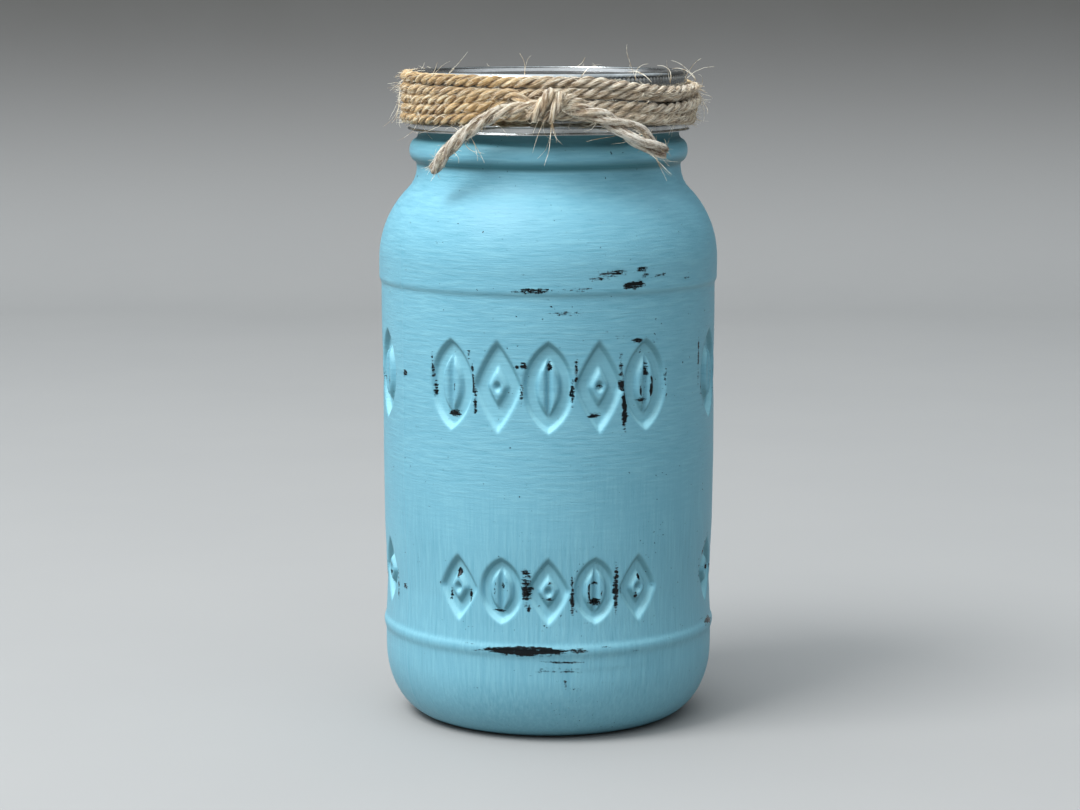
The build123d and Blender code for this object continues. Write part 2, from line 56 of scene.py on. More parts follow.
camera_data = bpy.data.cameras.new("camera")
camera_data.lens = LENS
camera_data.sensor_width = 36.0
camera = bpy.data.objects.new("camera", camera_data)
camera.location = CAMERA_PLACE
camera.rotation_euler = (math.radians(90 - CAMERA_PITCH), 0, math.radians(CAMERA_YAW))
bpy.context.scene.collection.objects.link(camera)
bpy.context.scene.camera = camera
bpy.context.scene.view_settings.view_transform = "Standard"


# ---- helpers for materials
RANGE_SOCKETS = ("From Min", "From Max", "To Min", "To Max")


class Graph:
    """A material's node tree, with a short way to add and join nodes."""

    def __init__(self, name):
        self.material = bpy.data.materials.new(name)
        self.material.use_nodes = True
        self.tree = self.material.node_tree
        self.shader = self.tree.nodes["Principled BSDF"]
        self.place = self.node("ShaderNodeTexCoord").outputs["Object"]

    def node(self, kind, **settings):
        made = self.tree.nodes.new(kind)
        for key, value in settings.items():
            setattr(made, key, value)
        return made

    def put(self, socket, value):
        if isinstance(value, bpy.types.NodeSocket):
            self.tree.links.new(value, socket)
        else:
            socket.default_value = value

    def set(self, **sockets):
        for key, value in sockets.items():
            self.put(self.shader.inputs[key.replace("_", " ")], value)

    def noise(self, scale, detail=4.0, rough=0.55, stretch=None, place=None, distortion=0.0):
        vector = place or self.place
        if stretch:
            mapping = self.node("ShaderNodeMapping")
            self.put(mapping.inputs["Vector"], vector)
            self.put(mapping.inputs["Scale"], stretch)
            vector = mapping.outputs[0]
        made = self.node("ShaderNodeTexNoise")
        self.put(made.inputs["Vector"], vector)
        numbers = {"Scale": scale, "Detail": detail, "Roughness": rough, "Distortion": distortion}
        for key, number in numbers.items():
            made.inputs[key].default_value = number
        return made.outputs["Fac"]

    def voronoi(self, scale):
        made = self.node("ShaderNodeTexVoronoi")
        self.put(made.inputs["Vector"], self.place)
        made.inputs["Scale"].default_value = scale
        return made.outputs["Distance"]

    def math(self, operation, a, b):
        made = self.node("ShaderNodeMath", operation=operation)
        self.put(made.inputs[0], a)
        self.put(made.inputs[1], b)
        return made.outputs[0]

    def add(self, a, b):
        return self.math("ADD", a, b)

    def times(self, a, b):
        return self.math("MULTIPLY", a, b)

    def ramp(self, value, low, high, out_low=0.0, out_high=1.0):
        made = self.node("ShaderNodeMapRange", interpolation_type="SMOOTHSTEP")
        self.put(made.inputs["Value"], value)
        for key, number in zip(RANGE_SOCKETS, (low, high, out_low, out_high)):
            made.inputs[key].default_value = number
        return made.outputs[0]

    def mix(self, amount, a, b, data_type="RGBA"):
        made = self.node("ShaderNodeMix", data_type=data_type)
        for key, value in (("Factor", amount), ("A", a), ("B", b)):
            self.put(made.inputs[key], value)
        return made.outputs["Result"]

    def layered(self, colour, *layers):
        """The colour under layers: what each follows, that ramp's four numbers, and its colour."""
        for value, low, high, out_low, out_high, coat in layers:
            colour = self.mix(self.ramp(value, low, high, out_low, out_high), colour, coat)
        return colour

    def between(self, amount, a, b):
        """The number that goes from a to b with amount."""
        return self.mix(amount, a, b, "FLOAT")

    def attribute(self, name, output="Fac"):
        return self.node("ShaderNodeAttribute", attribute_name=name).outputs[output]

    def height(self):
        made = self.node("ShaderNodeSeparateXYZ")
        self.put(made.inputs[0], self.place)
        return made.outputs["Z"]

    def bump(self, height, strength, distance, before=None):
        made = self.node("ShaderNodeBump")
        self.put(made.inputs["Height"], height)
        made.inputs["Strength"].default_value = strength
        made.inputs["Distance"].default_value = distance
        if before:
            self.put(made.inputs["Normal"], before)
        return made.outputs["Normal"]


def rgb(red, green, blue):
    return (red, green, blue, 1.0)


# ---- helpers for meshes
def mesh_object(name, points, faces):
    mesh = bpy.data.meshes.new(name)
    mesh.from_pydata([tuple(p) for p in points], [], faces)
    mesh.update()
    mesh.polygons.foreach_set("use_smooth", [True] * len(mesh.polygons))
    made = bpy.data.objects.new(name, mesh)
    bpy.context.scene.collection.objects.link(made)
    return made


def store(obj, name, values, kind="FLOAT", key="value"):
    layer = obj.data.attributes.new(name, kind, "POINT")
    layer.data.foreach_set(key, np.asarray(values, dtype=np.float32).ravel())


def grid_faces(rows, columns, closed_rows=False):
    """Quads between rows of points that each go once round."""
    column = np.arange(columns)
    after = (column + 1) % columns
    faces = []
    for row in range(rows if closed_rows else rows - 1):
        a, b = row * columns, (row + 1) % rows * columns
        faces.append(np.stack([a + column, a + after, b + after, b + column], axis=1))
    return np.concatenate(faces).tolist()


def smooth_step(value):
    value = np.clip(value, 0.0, 1.0)
    return value * value * (3 - 2 * value)


def arc(centre, radii, start, end, step=0.25):
    """Points of an arc, or a stretch of an ellipse, in the plane of radius and height."""
    count = max(2, int(abs(math.radians(end - start)) * max(radii) / step))
    angles = np.radians(np.linspace(start, end, count + 1))
    return [(centre[0] + radii[0] * math.cos(a), centre[1] + radii[1] * math.sin(a)) for a in angles]


def walked(points, step=0.1):
    """The same outline with points at even distances."""
    points = np.array(points, dtype=float)
    gaps = np.hypot(*np.diff(points, axis=0).T)
    points = points[np.concatenate([[True], gaps > 1e-9])]
    along = np.concatenate([[0], np.cumsum(np.hypot(*np.diff(points, axis=0).T))])
    even = np.linspace(0, along[-1], int(along[-1] / step) + 1)
    return np.stack([np.interp(even, along, points[:, i]) for i in (0, 1)], axis=1)


def softened(points, reach, step=0.1):
    """An evenly walked outline with its corners rounded, ends kept."""
    half = int(3 * reach / step)
    weights = np.exp(-0.5 * (np.arange(-half, half + 1) * step / reach) ** 2)
    weights /= weights.sum()
    before = 2 * points[0] - points[half:0:-1]
    after = 2 * points[-1] - points[-2:-half - 2:-1]
    padded = np.concatenate([before, points, after])
    return np.stack([np.convolve(padded[:, i], weights, "valid") for i in (0, 1)], axis=1)


def spaced(points, spacing):
    """Points picked from an even outline so that their distance follows spacing(height)."""
    kept = [points[0]]
    gone = 0.0
    for before, point in zip(points, points[1:]):
        gone += math.dist(before, point)
        if gone >= spacing(point[1]):
            kept.append(point)
            gone = 0.0
    if math.dist(kept[-1], points[-1]) > 1e-6:
        kept.append(points[-1])
    return np.array(kept)


def revolved(rows, columns):
    """The angle from the front, the radius and the height of an outline's points, once round."""
    theta = np.linspace(-math.pi, math.pi, columns, endpoint=False)
    turn, r = np.meshgrid(theta, rows[:, 0])
    return turn, r, np.repeat(rows[:, 1][:, None], columns, axis=1)


def placed(turn, r, z):
    """The points in metres, from sizes in millimetres."""
    return np.stack([r * np.sin(turn), -r * np.cos(turn), z], axis=-1).reshape(-1, 3) * MM


def thread_laps(turn, z, start_z, run_out, half_width, flank):
    """How much of a thread's ridge is at each point, for each lap. It climbs by one pitch a turn."""
    for lap in (0, 1):
        along = turn + math.pi + math.tau * lap
        across = np.abs(z - start_z - PITCH * along / math.tau)
        ends = smooth_step((math.tau * THREAD_TURNS - along) / run_out) * smooth_step(along / run_out)
        yield ends * smooth_step((half_width - across) / flank)


# ---- the jar, in millimetres
WALL, FLOOR_Z, PUNT_HEIGHT = 2.8, 6.5, 3.2
REST_INNER_R, REST_OUTER_R = 28.5, 31.0
HEEL_R, HEEL_TOP_Z = 43.5, 18.0
LEDGE_R, LEDGE_Z = 44.1, 25.4
PANEL = [(43.55, 26.8), (43.3, 31.0), (43.2, 37.0), (43.75, 52.0), (43.95, 70.0), (43.95, 92.0),
         (44.15, 108.0), (44.12, 115.7)]
SHOULDER_R, SHOULDER_Z = 44.7, 116.9
SHOULDER_ARC_R, SHOULDER_ARC_Z, NECK_ARC_R, SHOULDER_TURN = 26.0, 122.0, 8.2, 44.6
NECK_R, NECK_Z = 34.8, 146.0
COLLAR_R, COLLAR_Z, COLLAR_HALF = 36.65, 150.4, 3.0
FINISH_R, MOUTH_R, RIM_Z = 34.3, 30.3, 169.9
PITCH, THREAD_TURNS, GLASS_THREAD_Z, GLASS_CREST_R = 5.08, 1.2, 160.3, 35.45
PAINT_TOP_Z = 158.6  # the paint ends under the band
SIDE_R = 33.0  # the outer wall is farther out than this, and the base's middle is nearer in
PANEL_R, JAR_R = 43.9, 44.0  # lengths round the jar: the ornament's, and the wear's and the seam's
SEAM_ANGLE, SEAM_WIDTH, SEAM_HEIGHT = -58, 0.45, 0.12
JAR_COLUMNS = 720


def jar_outline():
    """The outer outline from the middle of the base to the rim, then the inner one down to the floor."""
    arc_x = SHOULDER_R - SHOULDER_ARC_R
    neck_x = NECK_R + NECK_ARC_R
    outer = [(0, PUNT_HEIGHT), (10, 2.95), (20, 1.75), (26, 0.6), (REST_INNER_R, 0), (REST_OUTER_R, 0)]
    outer += arc((REST_OUTER_R, HEEL_TOP_Z), (HEEL_R - REST_OUTER_R, HEEL_TOP_Z), -90, 0)
    outer += [(HEEL_R + 0.1, LEDGE_Z - 2.6), (LEDGE_R, LEDGE_Z - 0.9), (LEDGE_R, LEDGE_Z), *PANEL]
    outer += [(SHOULDER_R, SHOULDER_Z)]
    outer += arc((arc_x, SHOULDER_ARC_Z), (SHOULDER_ARC_R, SHOULDER_ARC_R), 0, SHOULDER_TURN)
    outer += arc((neck_x, NECK_Z), (NECK_ARC_R, NECK_ARC_R), 180 + SHOULDER_TURN, 180)
    bead = COLLAR_R - NECK_R
    outer += [(NECK_R, COLLAR_Z - COLLAR_HALF - 0.4)]
    outer += arc((NECK_R, COLLAR_Z), (bead, COLLAR_HALF), -90, 90)
    outer += [(FINISH_R, COLLAR_Z + 4.2)]
    outer += arc((FINISH_R - 1.9, RIM_Z - 2.2), (1.9, 2.2), 0, 90)
    outer += arc((MOUTH_R + 0.9, RIM_Z - 0.9), (0.9, 0.9), 90, 180)
    inner_r = SHOULDER_R - WALL
    shoulder = SHOULDER_ARC_R - WALL
    inner = arc((neck_x, NECK_Z), (NECK_ARC_R + WALL, NECK_ARC_R + WALL), 180, 180 + SHOULDER_TURN)
    inner += arc((arc_x, SHOULDER_ARC_Z), (shoulder, shoulder), SHOULDER_TURN, 0)
    inner += [(inner_r - 1.2, 96.0)]
    inner += arc((REST_OUTER_R - 2, 20), (inner_r - 1.5 - REST_OUTER_R + 2, 20 - FLOOR_Z), 0, -90)
    inner += [(0, FLOOR_Z)]
    return walked(outer), walked([(MOUTH_R, RIM_Z - 0.9), (MOUTH_R, NECK_Z + 4)] + inner)


# The pressed ornament: two rows of leaves and diamonds sunk into the panel in four groups.
RELIEF = 1.45  # deeper than the CAD's 1.1, for the light to catch it
WALL_START, WALL_WIDTH = 0.45, 1.45  # a stroke's soft wall starts this far outside it, and is this wide
UPPER_ROW = dict(z=92.9, width=12.8, height=22.8, step=17.16, stroke=3.7)
LOWER_ROW = dict(z=40.4, width=11.2, height=16.6, step=16.1, stroke=2.9)
GROUPS = [(0, 5), (90, 3), (180, 5), (270, 3)]  # each group's angle and number of motifs
MIDRIB, DOT_R, DOT_SQUASH = 1.5, 0.9, 0.8
MOTIF_REACH = 0.25  # radians, more than half a motif's width
FAR = 9.0  # the distance given to points beyond every motif


def oval_distance(u, v, width, height):
    """Distance to a pointed oval's outline, negative inside."""
    a, b = width / 2, height / 2
    radius = (a * a + b * b) / (2 * a)
    return np.hypot(np.abs(u) + radius - a, v) - radius


def rhomb_distance(u, v, width, height):
    """About the distance to the outline of a diamond with slightly bowed sides."""
    a, b, bow = width / 2, height / 2, 1.18
    reach = (np.abs(u / a) ** bow + np.abs(v / b) ** bow) ** (1 / bow)
    return (reach - 1) / math.hypot(1 / a, 1 / b)


def motif_distance(u, v, row, is_leaf):
    """Distance to a motif's sunk strokes, negative in them, and to its outer outline."""
    if is_leaf:
        outside = oval_distance(u, v, row["width"], row["height"])
        middle = np.maximum(np.abs(u) - MIDRIB / 2, outside)
    else:
        outside = rhomb_distance(u, v, row["width"], row["height"])
        middle = np.hypot(u, v * DOT_SQUASH) - DOT_R
    ring = np.maximum(outside, -(outside + row["stroke"]))
    return np.minimum(ring, middle), outside


def ornament(theta, z):
    """At each point, the ornament's depth, the distance to its strokes, and the islands in them."""
    near = np.full(theta.shape, FAR)
    island = np.zeros(theta.shape)
    for row, first_is_leaf in ((UPPER_ROW, True), (LOWER_ROW, False)):
        band = np.abs(z - row["z"]) < row["height"] / 2 + 3
        for middle, count in GROUPS:
            for i in range(count):
                turn = math.radians(middle + row["step"] * (i - (count - 1) / 2))
                delta = (theta - turn + math.pi) % math.tau - math.pi
                here = band & (np.abs(delta) < MOTIF_REACH)
                u, v = PANEL_R * delta[here], z[here] - row["z"]
                strokes, outside = motif_distance(u, v, row, (i % 2 == 0) == first_is_leaf)
                near[here] = np.minimum(near[here], strokes)
                island[here] = np.maximum(island[here], (outside < -row["stroke"] * 0.7) * 1.0)
    depth = RELIEF * smooth_step((WALL_START - near) / WALL_WIDTH)
    return depth, near, island


# Where the paint is rubbed through to the glass: the angle from the front in degrees, the height,
# half the length round the jar and half the height in millimetres, and how bare it is.
RUBS = [
    # Under and on the shoulder's step.
    (-5.4, 117.6, 4.6, 0.75, 1), (-0.3, 117.7, 0.7, 0.5, 0.9), (9, 117.8, 5.6, 0.8, 0.6),
    (29, 118.4, 3, 1.05, 1.05), (20, 121.8, 5.6, 1.1, 0.82), (17, 120.2, 5, 0.7, 0.62),
    (31.5, 122.3, 2.2, 0.8, 0.85), (33, 120.9, 1.6, 0.7, 0.9), (38.5, 120.7, 5.2, 0.5, 0.66),
    (-7, 121.3, 3.5, 0.6, 0.55), (6, 111.6, 6.5, 0.35, 0.6), (12, 108.6, 5, 0.3, 0.5),
    (25, 105.4, 5, 0.7, 0.66), (31, 104.4, 2.1, 0.7, 1), (19, 105.8, 3, 0.3, 0.6),
    (-38, 112, 3, 0.4, 0.5), (52, 119, 3, 0.5, 0.6),
    # Beside the strokes of the upper row.
    (-42.3, 97, 0.55, 4.8, 0.72), (-41.8, 91.5, 0.55, 2.4, 0.9), (-27.2, 100.5, 0.7, 2.6, 0.66),
    (-26, 94.5, 0.62, 4.4, 1), (-24.9, 88.8, 0.55, 3.4, 0.95), (-33.2, 92.2, 0.6, 1.2, 0.95),
    (-33.4, 85.2, 1.9, 1, 1.05), (-8.2, 98.6, 1, 1.2, 0.95), (-10.4, 97.9, 0.6, 0.8, 0.9),
    (-9, 92, 0.7, 4.4, 0.7), (0.4, 98.3, 0.65, 1.4, 1), (9.2, 97.5, 0.6, 4.2, 0.85),
    (8, 91.2, 0.6, 3.4, 0.95), (24.6, 97.5, 0.8, 4.6, 0.76), (25.2, 93.4, 0.7, 2.4, 0.95),
    (26, 87.2, 0.75, 5, 1.05), (34.6, 96, 0.7, 2.3, 1), (33, 88.8, 1.9, 0.8, 0.9),
    (15.6, 85.6, 2, 0.75, 1), (42.9, 95, 0.5, 4, 0.68), (17.2, 92.9, 0.9, 0.8, 0.8),
    (62, 98, 0.55, 8, 0.82), (65.5, 92, 0.45, 7, 0.8), (67.5, 87.5, 0.8, 1.6, 0.95),
    # Beside the strokes of the lower row.
    (-32.2, 44, 0.75, 1.3, 1), (-36.2, 38, 0.5, 2.2, 0.92), (-28, 38.2, 0.55, 1.7, 0.95),
    (-15.6, 41.4, 0.6, 1.2, 0.9), (-16.4, 35.1, 2.2, 0.45, 0.8), (-7.4, 41.6, 1.5, 4.4, 0.98),
    (-6.6, 35.6, 0.5, 1.8, 0.75), (0.2, 38.6, 2.2, 0.7, 0.86), (1.6, 42.6, 1.8, 0.6, 0.72),
    (8, 43.6, 0.45, 2.8, 0.72), (8.2, 38.2, 0.62, 3.8, 1.02), (16.2, 37.4, 1.8, 0.9, 1.05),
    (16, 42.4, 1, 1.1, 0.78), (23.6, 41, 0.68, 6.4, 1.06), (25.8, 39.5, 0.4, 2.6, 0.7),
    (32.4, 43.6, 0.45, 1.9, 0.92), (31.4, 38.2, 0.45, 1.2, 0.9), (-39.8, 41, 0.4, 2.4, 0.6),
    # Along the ledge at the foot and in the scratches below it.
    (-9, 24.9, 8.6, 1.25, 1.12), (-1, 25, 5.2, 1, 1.05), (-18, 25.1, 6, 0.8, 0.82),
    (9.5, 25.2, 3.2, 0.75, 0.82), (20, 25.6, 4.6, 0.5, 0.52), (-28, 26, 3.4, 0.5, 0.6),
    (4, 21.9, 7.6, 0.42, 0.78), (2.6, 20.5, 8.6, 0.36, 0.74), (4.6, 19.5, 7, 0.34, 0.72),
    (-1, 22.8, 5, 0.3, 0.55), (5.8, 17.2, 0.32, 3.4, 0.7), (9.6, 14.6, 3.6, 0.35, 0.62),
    (76, 26.2, 4.4, 1.5, 0.85), (70, 27.6, 3, 0.5, 0.6),
]


BACK_MARKS = 22
MARK_LEVELS = [(117.8, 0.8), (121.4, 0.9), (24.9, 1.0), (20.5, 0.4), (151.0, 0.5)]  # height, half height


def back_rubs():
    """The wear of the sides and the back: slits beside the strokes and marks along the ledges."""
    rubs = []
    draw = dice.uniform
    for row in (UPPER_ROW, LOWER_ROW):
        for middle, count in GROUPS[1:]:
            for i in range(count + 1):
                angle = middle + row["step"] * (i - count / 2)
                height = row["z"] + draw(-0.25, 0.25) * row["height"]
                rubs.append((angle, height, draw(0.4, 0.8), draw(1.5, 5.0), draw(0.6, 1.0)))
                rubs.append((angle + draw(5, 11), height, draw(0.6, 1.6), draw(0.5, 1.2), draw(0.7, 1.0)))
    for _ in range(BACK_MARKS):
        height, half_height = dice.choice(MARK_LEVELS)
        rubs.append((draw(95, 265), height, draw(3.0, 9.0), half_height, draw(0.6, 1.05)))
    return rubs


RUBS += back_rubs()


def rub_field(theta, z):
    """How worn each point is: a rub's bareness in its middle, less and less away from it."""
    field = np.zeros(theta.shape)
    for angle, height, half_length, half_height, bare in RUBS:
        delta = (theta - math.radians(angle) + math.pi) % math.tau - math.pi
        away = np.hypot(delta * JAR_R / half_length, (z - height) / half_height)
        field = np.maximum(field, bare - 0.5 * away ** 2)
    return field


def jar_spacing(z):
    """Fine rows where the surface has relief, wider ones where it is plain."""
    if 24.0 < z < 50.5 or 79.5 < z < 106.5:
        return 0.42
    if 16.0 < z < 24.0 or 114.5 < z < 124.5 or 145.0 < z < 169.0:
        return 0.55
    return 1.4 if z > 4 else 1.0


INNER_GLASS, CLEAR_GLASS = 1, 2  # places in the jar's list of materials, after the paint


def make_jar():
    """The jar with its ornament, thread and seam, and the fields that its paint follows."""
    outer, inner = jar_outline()
    side_start = int(np.argmax((outer[:, 0] > SIDE_R) & (outer[:, 1] > 0.2)))
    soft = np.concatenate([outer[:side_start], softened(outer[side_start:], 0.3)])
    rows = spaced(soft[1:], jar_spacing)
    inside = spaced(inner, lambda z: 2.4)[1:-1]
    outer_count = len(rows)
    rows = np.concatenate([rows, inside])
    turn, r, z = revolved(rows, JAR_COLUMNS)
    is_outer = np.arange(len(rows))[:, None] < outer_count
    is_side = is_outer & (r > SIDE_R) & (z > 0.5)
    depth, near, island = ornament(turn, z)
    r = r - np.where(is_side, depth, 0)
    for ridge in thread_laps(turn, z, GLASS_THREAD_Z, 0.2, 1.55, 1.1):
        r = r + np.where(is_side & (z > 156), (GLASS_CREST_R - FINISH_R) * ridge, 0)
    # The seam of the mould and the slow unevenness of blown glass.
    from_seam = np.sin(turn - math.radians(SEAM_ANGLE)) * JAR_R
    seam = SEAM_HEIGHT * np.exp(-(from_seam / SEAM_WIDTH) ** 2)
    wave = 0.06 * np.sin(3 * turn + z / 17) + 0.05 * np.sin(5 * turn - z / 11 + 1)
    r = r + np.where(is_side & (z < NECK_Z), seam + wave * (z > 20), 0)
    # How much each wall of the relief and of the two ledges faces up, or down where it is below 0. The
    # paint's painted highlight and painted shade follow it.
    rise = np.gradient(z, axis=0)
    slope = -np.gradient(r, axis=0) / np.where(np.abs(rise) < 0.05, 1.0, rise)
    lip_painted_light = np.where(is_side & (z > 22) & (z < 118.5), np.clip(slope, -1, 1), 0)
    points = placed(turn, r, z)
    faces = grid_faces(len(rows), JAR_COLUMNS)
    first = len(points)
    points = np.concatenate([points, [[0, 0, PUNT_HEIGHT * MM], [0, 0, FLOOR_Z * MM]]])
    last_row = (len(rows) - 1) * JAR_COLUMNS
    for i in range(JAR_COLUMNS):
        after = (i + 1) % JAR_COLUMNS
        faces.append((first, after, i))
        faces.append((first + 1, last_row + i, last_row + after))
    jar = mesh_object("jar_painted_glass", points, faces)
    # Paint is rubbed off the ground's high edges beside the strokes, and most of all off the small
    # islands that the strokes leave.
    edge = np.exp(-((near - 0.85) / 0.62) ** 2)
    high = np.where(is_side, np.maximum(edge * 0.8, island * smooth_step((near + 0.1) / 0.9)), 0)
    rubs = np.where(is_side, rub_field(turn, z), 0)
    painted = np.where(is_side, smooth_step((PAINT_TOP_Z - z) / 0.8), 0)
    painted = painted * smooth_step((r - REST_OUTER_R) / 1.5)
    fields = {"high": high, "rub": rubs, "painted": painted,
              "sunk": np.where(is_side, depth / RELIEF, 0), "lip_painted_light": lip_painted_light}
    for name, values in fields.items():
        store(jar, name, np.concatenate([values.ravel(), [0, 0]]))  # the two middles have none
    inner_faces = outer_count * JAR_COLUMNS
    for polygon in jar.data.polygons:
        if polygon.center[2] > PAINT_TOP_Z * MM:
            polygon.material_index = CLEAR_GLASS
        elif polygon.vertices[0] >= inner_faces or len(polygon.vertices) == 3:
            polygon.material_index = INNER_GLASS
    return jar


def paint_material():
    """Chalk paint over glass: brushed, a little uneven, rubbed off on the high edges, with painted shade
    and painted highlights on the relief and the neck.
    """
    g = Graph("chalk_paint")
    # Brush marks lie along the jar in its lower half and round it above.
    upright = g.noise(1500, 5, 0.65, stretch=(1, 1, 0.05))
    level = g.noise(1500, 5, 0.65, stretch=(0.1, 0.1, 1))
    up, lip_painted_light = g.height(), g.attribute("lip_painted_light")
    strokes = g.between(g.ramp(g.add(up, g.times(g.noise(25), 0.06)), 0.07, 0.11), upright, level)
    cloud = g.noise(26, 3, 0.5)
    colour = g.layered(
        g.mix(g.ramp(cloud, 0.3, 0.7), rgb(0.147, 0.363, 0.452), rgb(0.163, 0.389, 0.48)),
        (strokes, 0.45, 0.66, 0.0, 0.36, rgb(0.235, 0.5, 0.57)),
        (strokes, 0.32, 0.45, 0.4, 0.0, rgb(0.1, 0.3, 0.375)),
        (g.noise(700, 6, 0.75), 0.62, 0.76, 0.0, 0.35, rgb(0.085, 0.245, 0.31)),
        # Painted shade on the walls of the relief and the ledges that face down, and a painted highlight on
        # those that face up.
        (lip_painted_light, -0.75, -0.12, 0.5, 0.0, rgb(0.075, 0.19, 0.21)),
        (lip_painted_light, 0.12, 0.75, 0.0, 0.65, rgb(0.3, 0.6, 0.67)),
        # A painted highlight: the floors of the sunk strokes are painted lighter.
        (g.attribute("sunk"), 0.75, 1.0, 0.0, 0.35, rgb(0.235, 0.5, 0.575)))
    # Painted shade: the paint is darkened on the neck under the band and in the crease below the collar.
    crease_painted_shade = g.times(g.ramp(up, 0.146, 0.1474), g.ramp(up, 0.1478, 0.15, 0.9, 0.0))
    neck_painted_shade = g.add(g.ramp(up, 0.15, 0.154, 0.0, 0.75), crease_painted_shade)
    colour = g.mix(neck_painted_shade, colour, rgb(0.055, 0.165, 0.185))
    # What is rubbed: ragged marks where the rubs are, broken ones on the high edges, and specks.
    streak = g.noise(560, 7, 0.85, stretch=(0.22, 0.22, 1.7))
    broken = g.noise(620, 6, 0.8, distortion=0.4)
    patch = g.noise(75, 2, 0.5)
    ragged = g.add(g.times(streak, 3.4), g.times(broken, 1.6))
    by_hand = g.ramp(g.add(g.attribute("rub"), ragged), 3.12, 3.18)
    wanted = g.add(g.times(broken, 0.9), g.times(patch, 1.1))
    on_edges = g.ramp(g.add(g.times(g.attribute("high"), 0.52), wanted), 1.6, 1.63)
    speck = g.ramp(g.add(g.noise(1300, 2, 0.5), g.times(patch, 0.22)), 0.865, 0.88)
    worn = g.math("MAXIMUM", g.math("MAXIMUM", by_hand, on_edges), speck)
    bare = g.math("MAXIMUM", worn, g.ramp(g.attribute("painted"), 0.45, 0.55, 1.0, 0.0))
    # Where the paint is rubbed off, and on the underside, the glass is painted near black: the wear is
    # real, and the black is painted shade of the unlit inside seen through the glass.
    colour = g.mix(bare, colour, rgb(0.002, 0.004, 0.005))
    rough = g.between(bare, g.ramp(strokes, 0.3, 0.7, 0.36, 0.48), 0.2)
    # Brush marks, fine grain with bits of grit in it, and the step down to the glass.
    grit = g.times(g.ramp(g.voronoi(420), 0.0, 0.22, 1.0, 0.0), g.ramp(cloud, 0.4, 0.7, 0.0, 1.2))
    normal = g.bump(strokes, 0.5, 0.0003)
    normal = g.bump(g.add(g.noise(3000, 3, 0.6), grit), 0.16, 0.0003, normal)
    normal = g.bump(bare, 0.6, -0.00015, normal)
    g.set(Base_Color=colour, Roughness=rough, Specular_IOR_Level=0.2, Normal=normal)
    return g.material


def clear_glass_material():
    """The bare finish: clear glass with a faint green tint."""
    g = Graph("clear_glass")
    tint = g.mix(g.noise(40, 3), rgb(0.8, 0.93, 0.9), rgb(0.9, 0.98, 0.96))
    rough = g.ramp(g.noise(120, 3), 0.3, 0.7, 0.01, 0.06)
    g.set(Base_Color=tint, Roughness=rough, Transmission_Weight=1.0, IOR=1.5,
          Normal=g.bump(g.noise(90, 2), 0.2, 0.0005))
    return g.material


def inner_glass_material():
    """The jar's inside: glass with the paint showing through it."""
    g = Graph("glass_over_paint")
    cloud = g.noise(30, 3, 0.6)
    g.set(Base_Color=g.mix(cloud, rgb(0.05, 0.15, 0.18), rgb(0.085, 0.215, 0.255)),
          Roughness=g.ramp(g.noise(15), 0.3, 0.7, 0.05, 0.1), Coat_Weight=0.8, Coat_Roughness=0.04,
          Specular_IOR_Level=0.6, Normal=g.bump(g.noise(60, 2), 0.15, 0.001))
    return g.material


jar = make_jar()
for material in (paint_material(), inner_glass_material(), clear_glass_material()):
    jar.data.materials.append(material)
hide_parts("jar_glass")
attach(jar, "jar")

# ---- screw band
BAND_R, BAND_SHEET, BAND_HOLE_R, BAND_TOP_Z = 36.3, 0.4, 30.4, 171.25
BEAD_R, BEAD_LOW_Z, BEAD_HIGH_Z = 37.0, 156.3, 158.6
HEM_R, HEM_Z = 37.1, 155.7
RIBS, RIB_DEPTH, RIB_LOW_Z, RIB_HIGH_Z = 176, 0.22, 164.5, 170.3
BAND_COLUMNS = RIBS * 6
BAND_CREST_R, BAND_THREAD_Z = 34.65, GLASS_THREAD_Z - 1.83
BAND_STEP, BAND_SOFTNESS = 0.05, 0.12


def band_outline(inset):
    """The band's sheet, seen from outside with inset 0 and from inside with its thickness."""
    corner = 1.1 - inset * 0.6
    outer_r, top = BAND_R - inset, BAND_TOP_Z - inset
    bead = BEAD_R - BAND_R
    low = BEAD_LOW_Z + 0.1
    line = [(HEM_R - inset, HEM_Z + 0.15), (HEM_R - inset, low - 0.25), (BAND_R + 0.25 - inset, low)]
    line += arc((outer_r + 0.15, (BEAD_LOW_Z + BEAD_HIGH_Z) / 2 + 0.1), (bead - 0.15, 1.05), -75, 90, 0.1)
    line += [(outer_r, BEAD_HIGH_Z + 0.2)]
    line += arc((outer_r - corner, top - corner), (corner, corner), 0, 90, 0.1)
    line += [(BAND_HOLE_R + 0.15, top)]
    return line


def band_rows(inset, spacing):
    line = walked(band_outline(inset), BAND_STEP)
    return spaced(softened(line, BAND_SOFTNESS, BAND_STEP), spacing)


def make_band():
    """The pressed sheet with its ribs, bead and rolled thread."""
    outer = band_rows(0, lambda z: 0.3 if z < 159.5 else 0.5)
    inner = band_rows(BAND_SHEET, lambda z: 0.55)[::-1]
    rows = np.concatenate([outer, inner])
    turn, r, z = revolved(rows, BAND_COLUMNS)
    is_outer = np.arange(len(rows))[:, None] < len(outer)
    wall = r > BAND_R - 1.0
    ribs = 0.5 + 0.5 * np.cos(turn * RIBS)
    zone = smooth_step((z - RIB_LOW_Z) / 0.8) * smooth_step((RIB_HIGH_Z - z) / 0.7)
    r = r - np.where(wall & is_outer, RIB_DEPTH * zone * (1 - ribs ** 0.7), 0)
    thread_depth = BAND_R - BAND_SHEET - BAND_CREST_R
    for groove in thread_laps(turn, z, BAND_THREAD_Z, 0.4, 1.5, 1.2):
        r = r - np.where(wall & (z > BEAD_HIGH_Z - 0.6), thread_depth * groove, 0)
    # The hem is not quite level.
    z = z + np.where(z < 157, 0.05 * np.sin(7 * turn) + 0.04 * np.sin(3 * turn + 1), 0)
    faces = grid_faces(len(rows), BAND_COLUMNS, closed_rows=True)
    return mesh_object("screw_band_sheet", placed(turn, r, z), faces)


